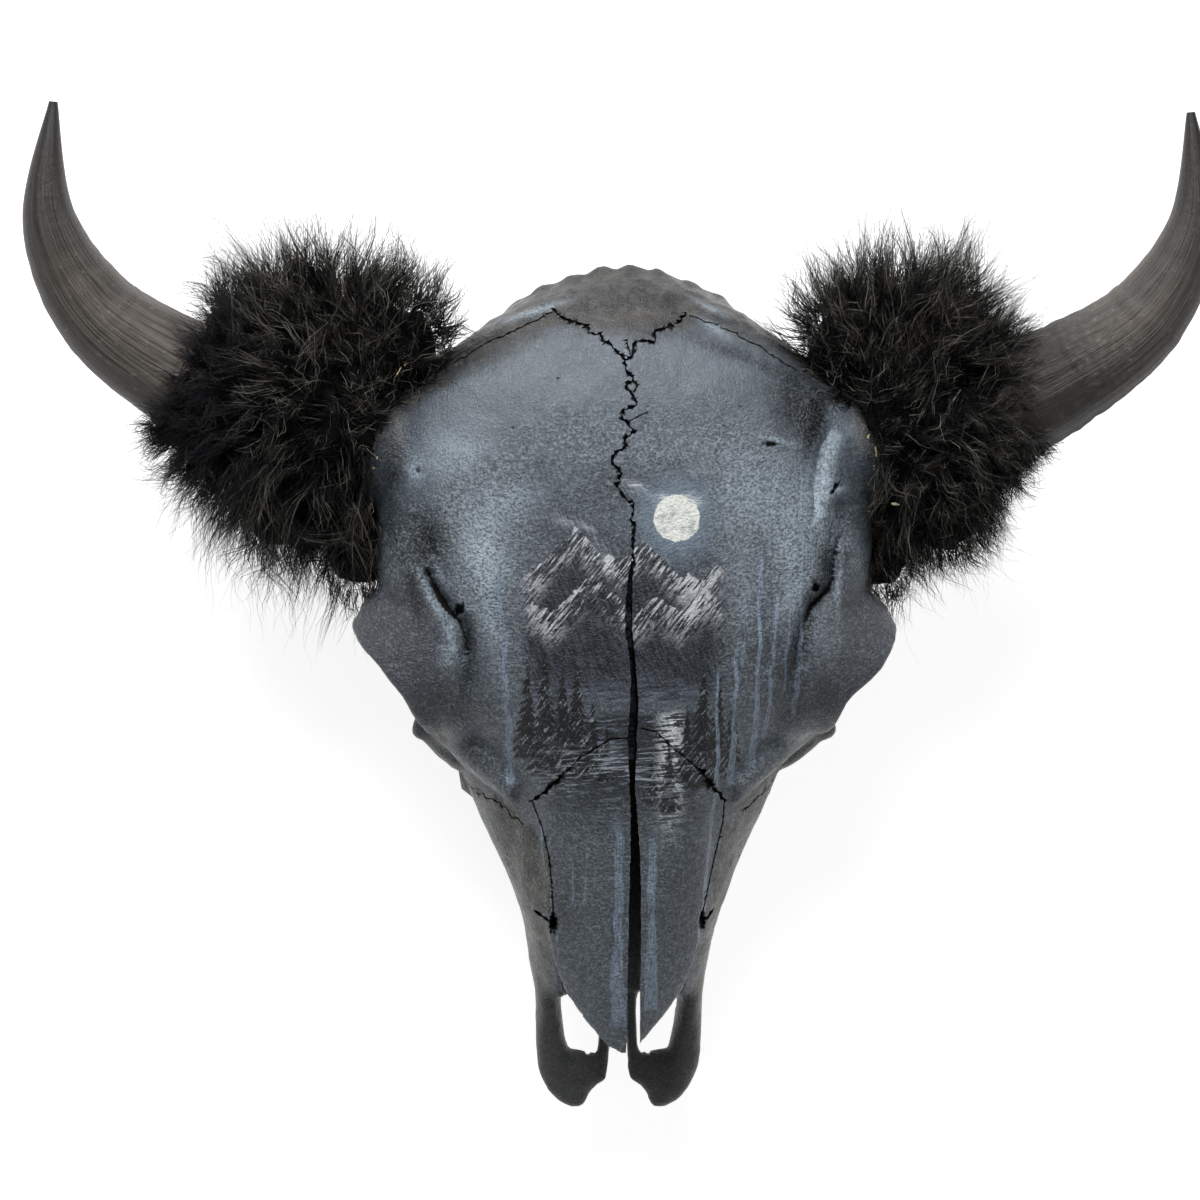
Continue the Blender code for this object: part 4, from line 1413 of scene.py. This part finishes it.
def matTable(side):
    # along the collar: middle, across, above, forward and radius of the mat
    table = []
    name = "right" if side > 0 else "left"
    end, radii = fur["end"][name], [(value,) for value in fur["matRadii"][name]]
    for share in np.linspace(0, 1, 41):
        along = fur["start"] + (end - fur["start"]) * share
        here = spotOn(hornPath, along)
        across, above, forward = directions(spotOn(hornPath, along + 0.02), here)
        radius = rowAt(radii, share)[0]
        vectors = [(side * v.x, v.y, v.z) for v in (here + Vector((0, 4, 0)), across, above, forward)]
        table.append([*vectors[0], *vectors[1], *vectors[2], *vectors[3], radius])
    return np.array(table)


def matSpots(sideName, dice, count):
    # chance points on the mat, the ways straight out of it and how long the hair is there
    side = sides[sideName]
    table = matTable(side)
    shares, angles = dice.random(count) ** 0.85, dice.uniform(0, 2 * math.pi, count)
    grid = np.linspace(0, 1, len(table))
    rows = np.stack([np.interp(shares, grid, column) for column in table.T], axis=1)
    middle, across, above, forward, radius = np.split(rows, (3, 6, 9, 12), axis=1)
    out = across * np.cos(angles)[:, None] + above * np.sin(angles)[:, None] * 0.9
    spots = middle + out * radius * 0.93
    out = unit(out + forward * smoothStep(shares, 0.7, 1.0)[:, None] * 1.1)
    length = np.ones(count)
    for centre, radii, share, tuftLength in fur["tufts"][sideName]:
        chosen = dice.random(count) < share
        ways = unit(dice.normal(size=(count, 3)) + (0, 0.3, 0.3))
        spots[chosen] = (np.array(centre) * (side, 1, 1) + ways * radii * 0.95)[chosen]
        out[chosen] = ways[chosen]
        length[chosen] = tuftLength
    return spots, out, length


def lieOfHair(sideName, spots):
    table = np.array(furLie[sideName])
    off = spots[:, None, :2] - table[None, :, :2]
    weight = np.exp(-(off ** 2).sum(axis=2) / 34 ** 2) + 1e-5
    weight /= weight.sum(axis=1, keepdims=True)
    return weight @ table[:, 2:4], weight @ table[:, 4]


def growGuides(sideName, dice, steps=10):
    # the middle lines of the locks
    spots, out, tuftLength = matSpots(sideName, dice, fur["guides"])
    lie, length = lieOfHair(sideName, spots)
    length = length * tuftLength * dice.uniform(0.7, 1.15, len(length))
    wild = dice.normal(0, 0.4, spots.shape)
    curlWay, curlPhase = unit(dice.normal(size=spots.shape)), dice.uniform(0, 6.3, len(spots))
    spine = [spots]
    for step in range(steps):
        t = (step + 0.5) / steps
        flow = np.column_stack([lie, out[:, 2] * 0.2 - 0.1])
        way = out * (1 - t) ** 1.6 * 0.55 + flow * (0.45 + 0.75 * t) + wild * (0.6 + 0.4 * t)
        way += curlWay * (0.75 * np.sin(curlPhase + t * 6))[:, None]
        spine.append(spine[-1] + unit(way) * (length / steps)[:, None])
    return np.stack(spine, axis=1)


def alongGuides(guides, shares):
    # points at the given shares, one row of shares a guide; past the end a guide runs on straight
    last = guides.shape[1] - 1
    spot = shares * last
    start = np.clip(spot.astype(int), 0, last - 1)
    rows = np.arange(len(guides))[:, None]
    first, second = guides[rows, start], guides[rows, start + 1]
    return first + (second - first) * (spot - start)[..., None]


def growStrands(sideName, dice, guides, kind):
    count, steps, length, closing, frizz, _ = fur["kinds"][kind]
    spots, _, _ = matSpots(sideName, dice, count)
    roots = guides[:, 0]
    near = np.concatenate([
        np.argmin(((part[:, None] - roots[None]) ** 2).sum(axis=2), axis=1)
        for part in np.array_split(spots, 12)
    ])
    t = np.linspace(0, 1, steps + 1)
    reach = t[None, :] * (length * dice.uniform(0.72, 1.08, count))[:, None]
    lines = alongGuides(guides[near], reach) - roots[near][:, None]
    drawn = (1 - closing * t ** 0.8)[None, :, None]
    lines = lines + roots[near][:, None] + (spots - roots[near])[:, None] * drawn
    for waves, share in ((1.2, 0.6), (3.6, 0.4)):
        phase, sway = dice.uniform(0, 6.3, (count, 1)), unit(dice.normal(size=(count, 3)))
        wave = np.sin(phase + t[None] * waves * 3) - np.sin(phase)
        lines = lines + sway[:, None] * (wave * t ** 0.6 * frizz * share)[..., None]
    return keepOutside(lines)


def keepOutside(lines):
    # strands rooted inside the bone go, and others are lifted clear of it
    kept, flat = np.ones(len(lines), dtype=bool), lines.reshape(-1, 3)
    steps = lines.shape[1]
    near = np.nonzero((np.abs(flat[:, 0]) < fur["boneHalf"]) & (flat[:, 1] > fur["boneLow"]))[0]
    for index in near:
        spot = Vector(flat[index])
        hit, normal, _, _ = boneTree.find_nearest(spot)
        depth = (spot - hit).dot(normal)
        if depth < fur["clearance"]:
            if index % steps == 0 and depth < -fur["rootDepth"]:
                kept[index // steps] = False
            flat[index] = hit + normal * fur["lift"]
    flat[:, 2] -= 0.8 * np.maximum(flat[:, 2] - fur["ceiling"], 0)
    return flat.reshape(lines.shape)[kept]


def strandMesh(name, lines, thickness, dice):
    # three-sided strands, copies of one, laid along the lines
    count, steps = len(lines), lines.shape[1] - 1
    bm = bmesh.new()
    tube(bm, steps, 3, lambda share, angle: (math.cos(angle), math.sin(angle), share * steps))
    tip = [vert for vert in bm.verts if vert.co.z > steps - 0.5]
    bmesh.ops.pointmerge(bm, verts=tip, merge_co=(0, 0, steps))
    obj = newObject(name, bm)
    one = readFlat(obj.data.vertices, "co")
    copies = obj.modifiers.new("strands", "ARRAY")
    copies.count = count
    copies.use_relative_offset = False
    copies.use_constant_offset = True
    copies.constant_offset_displace = (3, 0, 0)
    bake(obj)

    level, angle = one[:, 2].round().astype(int), np.arctan2(one[:, 1], one[:, 0])
    ahead = unit(np.gradient(lines, axis=1))
    aside = unit(np.cross(ahead, unit(dice.normal(size=(count, 1, 3)))))
    above = np.cross(ahead, aside)
    along = level / steps
    width = (thickness * dice.uniform(0.55, 1.25, count))[:, None] * (1 - along ** 1.6 * 0.9)
    width[:, level == steps] = 0
    off = aside[:, level] * np.cos(angle)[:, None] + above[:, level] * np.sin(angle)[:, None]
    spots = lines[:, level] + off * width[..., None]
    writeSpots(obj.data, spots.reshape(-1, 3))
    storeValues(obj.data, "strand", np.repeat(dice.random(count), len(one)))
    storeValues(obj.data, "along", np.tile(along, count))
    return obj


def furHair():
    p = Paint("blackFur")
    strand, along = p.own("strand"), p.own("along")
    patch = p.noise(16, 3, away=3)
    colour = p.blend(p.step(along, 0.15, 1.0), tint(5, 5, 5), tint(20, 19, 18))
    # paler hairs, partly the hair's own colour and partly painted highlights of light on black hair
    pale = p.step(strand + (patch - 0.5) * 0.6, 0.7, 0.94) * p.step(along, 0.15, 0.7)
    colour = p.blend(pale * 0.75, colour, tint(144, 140, 131))
    brown = p.step(p.noise(24, 2, away=15), 0.5, 0.68) * p.step(along, 0.3, 0.9, 0, 0.35)
    colour = p.blend(brown, colour, tint(52, 42, 34))
    cuff = p.step(p.x, -206, -238)
    colour = p.blend(cuff * 0.9, colour, tint(12, 14, 20))
    return p.finish(colour, p.step(strand, 0, 1, 0.38, 0.6), (patch - 0.5) * 0.1, Specular_IOR_Level=0.24)


def furMat():
    p = Paint("furMat")
    clump = p.noise(5, 4, away=2)
    hair = p.noise(0.8, 3, stretch=(1, 6, 1), turn=20, away=8)
    colour = p.blend(p.step(clump, 0.4, 0.7), tint(3, 3, 3), tint(12, 12, 11))
    colour = p.layer(colour, hair, 0.55, 0.8, 0.5, tint(26, 25, 24))
    height = (clump - 0.5) * 3 + (hair - 0.5) * 0.8
    return p.finish(colour, p.step(hair, 0.3, 0.7, 0.75, 0.95), height, Specular_IOR_Level=0.1)


def makeMat(name, side, material):
    bm = bmesh.new()
    table = matTable(side)
    rows = [(*row[:3], row[12] * 0.9, row[12] * 0.82) for row in table[::5]]
    sweep(bm, rows, rings=30, around=36)
    for (x, y, z), radii, _, _ in fur["tufts"][name]:
        ball(bm, (side * x, y, z), Vector(radii) * 0.8)
    obj = newPiece(name + "FurMat", bm)
    fuse(obj, fur["matVoxel"], 2)
    for ending, size, strength in fur["matLumps"]:
        roughen(obj, name + ending, size, strength)
    bake(obj)
    bm = bmesh.new()
    sweep(bm, hornRows(side, 0.02, 0.75, 1.2), rings=20, around=32)
    cutAway(obj, newPiece("passage", bm))
    dress(obj, material)
    return ready(obj, "black_fur", name + "_fur_collar")


def makeCollars():
    hair, mat = furHair(), furMat()
    total, mats = 0, []
    for order, (name, side) in enumerate(sides.items()):
        mats.append(makeMat(name, side, mat))
        dice = np.random.default_rng(fur["seed"] + order)
        guides = growGuides(name, dice)
        for kind, settings in fur["kinds"].items():
            lines = growStrands(name, dice, guides, kind)
            obj = strandMesh(name + "Fur" + kind, lines, settings[-1], dice)
            dress(obj, hair)
            ready(obj, "black_fur")
            total += triangleCount(obj)
        print(name, "collar made,", total, "hair triangles so far")
    return mats


def treeOf(obj):
    faces = [tuple(face.vertices) for face in obj.data.polygons]
    return BVHTree.FromPolygons([tuple(spot) for spot in readSpots(obj.data)], faces)


boneTree = treeOf(paintedSkull)
furMats = makeCollars()

# Dried glue and bits of straw at the edge of the fur

flecks = {
    "thick": 0.35,
    "overFur": 7,  # how far above the mat those in the fur lie
    "inHair": 176,
    "each": [  # x, y, length, width, turn
        (-130, 130, 7.5, 0.8, 60),
        (-126, 134, 3.0, 0.7, 35),
        (-144, 75, 1.6, 1.3, 0),
        (-142, 81, 2.4, 0.8, 80),
        (139, 94, 3.0, 1.2, 70),
        (143, 85, 7.0, 1.3, 95),
        (142, 76, 3.2, 0.9, 80),
        (154, 55, 5.5, 1.6, -10),
        (196, 168, 1.4, 1.2, 0),
        (190, 161, 1.2, 1.0, 0),
        (176, 128, 1.3, 0.9, 40),
        (140, 51, 1.4, 1.2, 0),
    ],
}


def makeFlecks():
    bm = bmesh.new()
    furTrees = [treeOf(mat) for mat in furMats]
    for x, y, length, width, turn in flecks["each"]:
        above, down = Vector((x, y, 400)), Vector((0, 0, -1))
        levels = [tree.ray_cast(above, down)[0] for tree in [boneTree, *furTrees]]
        heights = [
            spot.z + (flecks["overFur"] if order else 0)
            for order, spot in enumerate(levels) if spot
        ]
        place = Matrix.LocRotScale(
            Vector((x, y, max(heights, default=flecks["inHair"]))),
            Matrix.Rotation(math.radians(turn), 3, "Z").to_quaternion(),
            Vector((length / 2, width / 2, flecks["thick"])),
        )
        bmesh.ops.create_icosphere(bm, subdivisions=2, radius=1, matrix=place)
    obj = newPiece("glueFlecks", bm)
    roughen(obj, "fleckKinks", 2.5, 1.2)
    bake(obj)
    p = Paint("driedGlue")
    colour = p.blend(p.step(p.noise(3, 2), 0.4, 0.6), tint(230, 224, 190), tint(206, 178, 118))
    dress(obj, p.finish(colour, 0.4, p.noise(0.8, 2) * 0.2))
    ready(obj, "tooth")


makeFlecks()

# Floor, light and camera

studio = {
    "floorHalf": 6.0,
    "ambient": 0.2,
    "lights": {  # place, what it's aimed at, size and power
        "key": ((-0.25, 1.15, 1.25), (0, 0.05, 0.1), 1.0, 31),
        "fill": ((0.9, -0.7, 1.5), (0, 0, 0.1), 1.4, 2.4),
    },
    "floorGlow": 0.85,
}


def makeFloor():
    bm = bmesh.new()
    bmesh.ops.create_grid(bm, x_segments=4, y_segments=4, size=studio["floorHalf"])
    obj = newObject("studioFloor", bm)
    p = Paint("paleFloor")
    p.shader.inputs["Emission Color"].default_value = (1, 1, 1, 1)
    p.shader.inputs["Emission Strength"].default_value = studio["floorGlow"]
    dress(obj, p.finish(tint(190, 190, 191), 0.85, p.noise(3, 2) * 0.05))


def makeLight(name, place, target, size, power):
    data = bpy.data.lights.new(name, "AREA")
    data.shape = "DISK"
    data.size = size
    data.energy = power
    obj = bpy.data.objects.new(name, data)
    bpy.context.scene.collection.objects.link(obj)
    obj.location = place
    obj.rotation_euler = (Vector(target) - Vector(place)).to_track_quat("-Z", "Y").to_euler()


def lightStudio():
    world = bpy.data.worlds.new("studio")
    bpy.context.scene.world = world
    world.use_nodes = True
    background = world.node_tree.nodes["Background"]
    background.inputs["Color"].default_value = (1, 1, 1, 1)
    background.inputs["Strength"].default_value = studio["ambient"]
    for name, settings in studio["lights"].items():
        makeLight(name, *settings)


makeFloor()
lightStudio()

camera = {
    "distance": 1.4,
    "lookAt": Vector((0, 0.019, 0.205)),
    "millimetresPerPixel": 0.565,
    "turn": math.radians(2.7),
    "pixels": 1200,
    "shiftPixels": -28,
    "filmWidth": 36,
}


def placeCamera():
    data = bpy.data.cameras.new("camera")
    obj = bpy.data.objects.new("camera", data)
    bpy.context.scene.collection.objects.link(obj)
    across, up = math.sin(camera["turn"]), math.cos(camera["turn"])
    obj.location = camera["lookAt"] + camera["distance"] * Vector((-across, 0, up))
    obj.rotation_euler = (0, -camera["turn"], 0)
    seenWidth = camera["pixels"] * camera["millimetresPerPixel"] * layout["millimetre"]
    data.sensor_width = camera["filmWidth"]
    data.lens = camera["filmWidth"] * camera["distance"] / seenWidth
    data.shift_x = camera["shiftPixels"] / camera["pixels"]
    bpy.context.scene.camera = obj


placeCamera()
bpy.context.scene.view_settings.view_transform = "Standard"
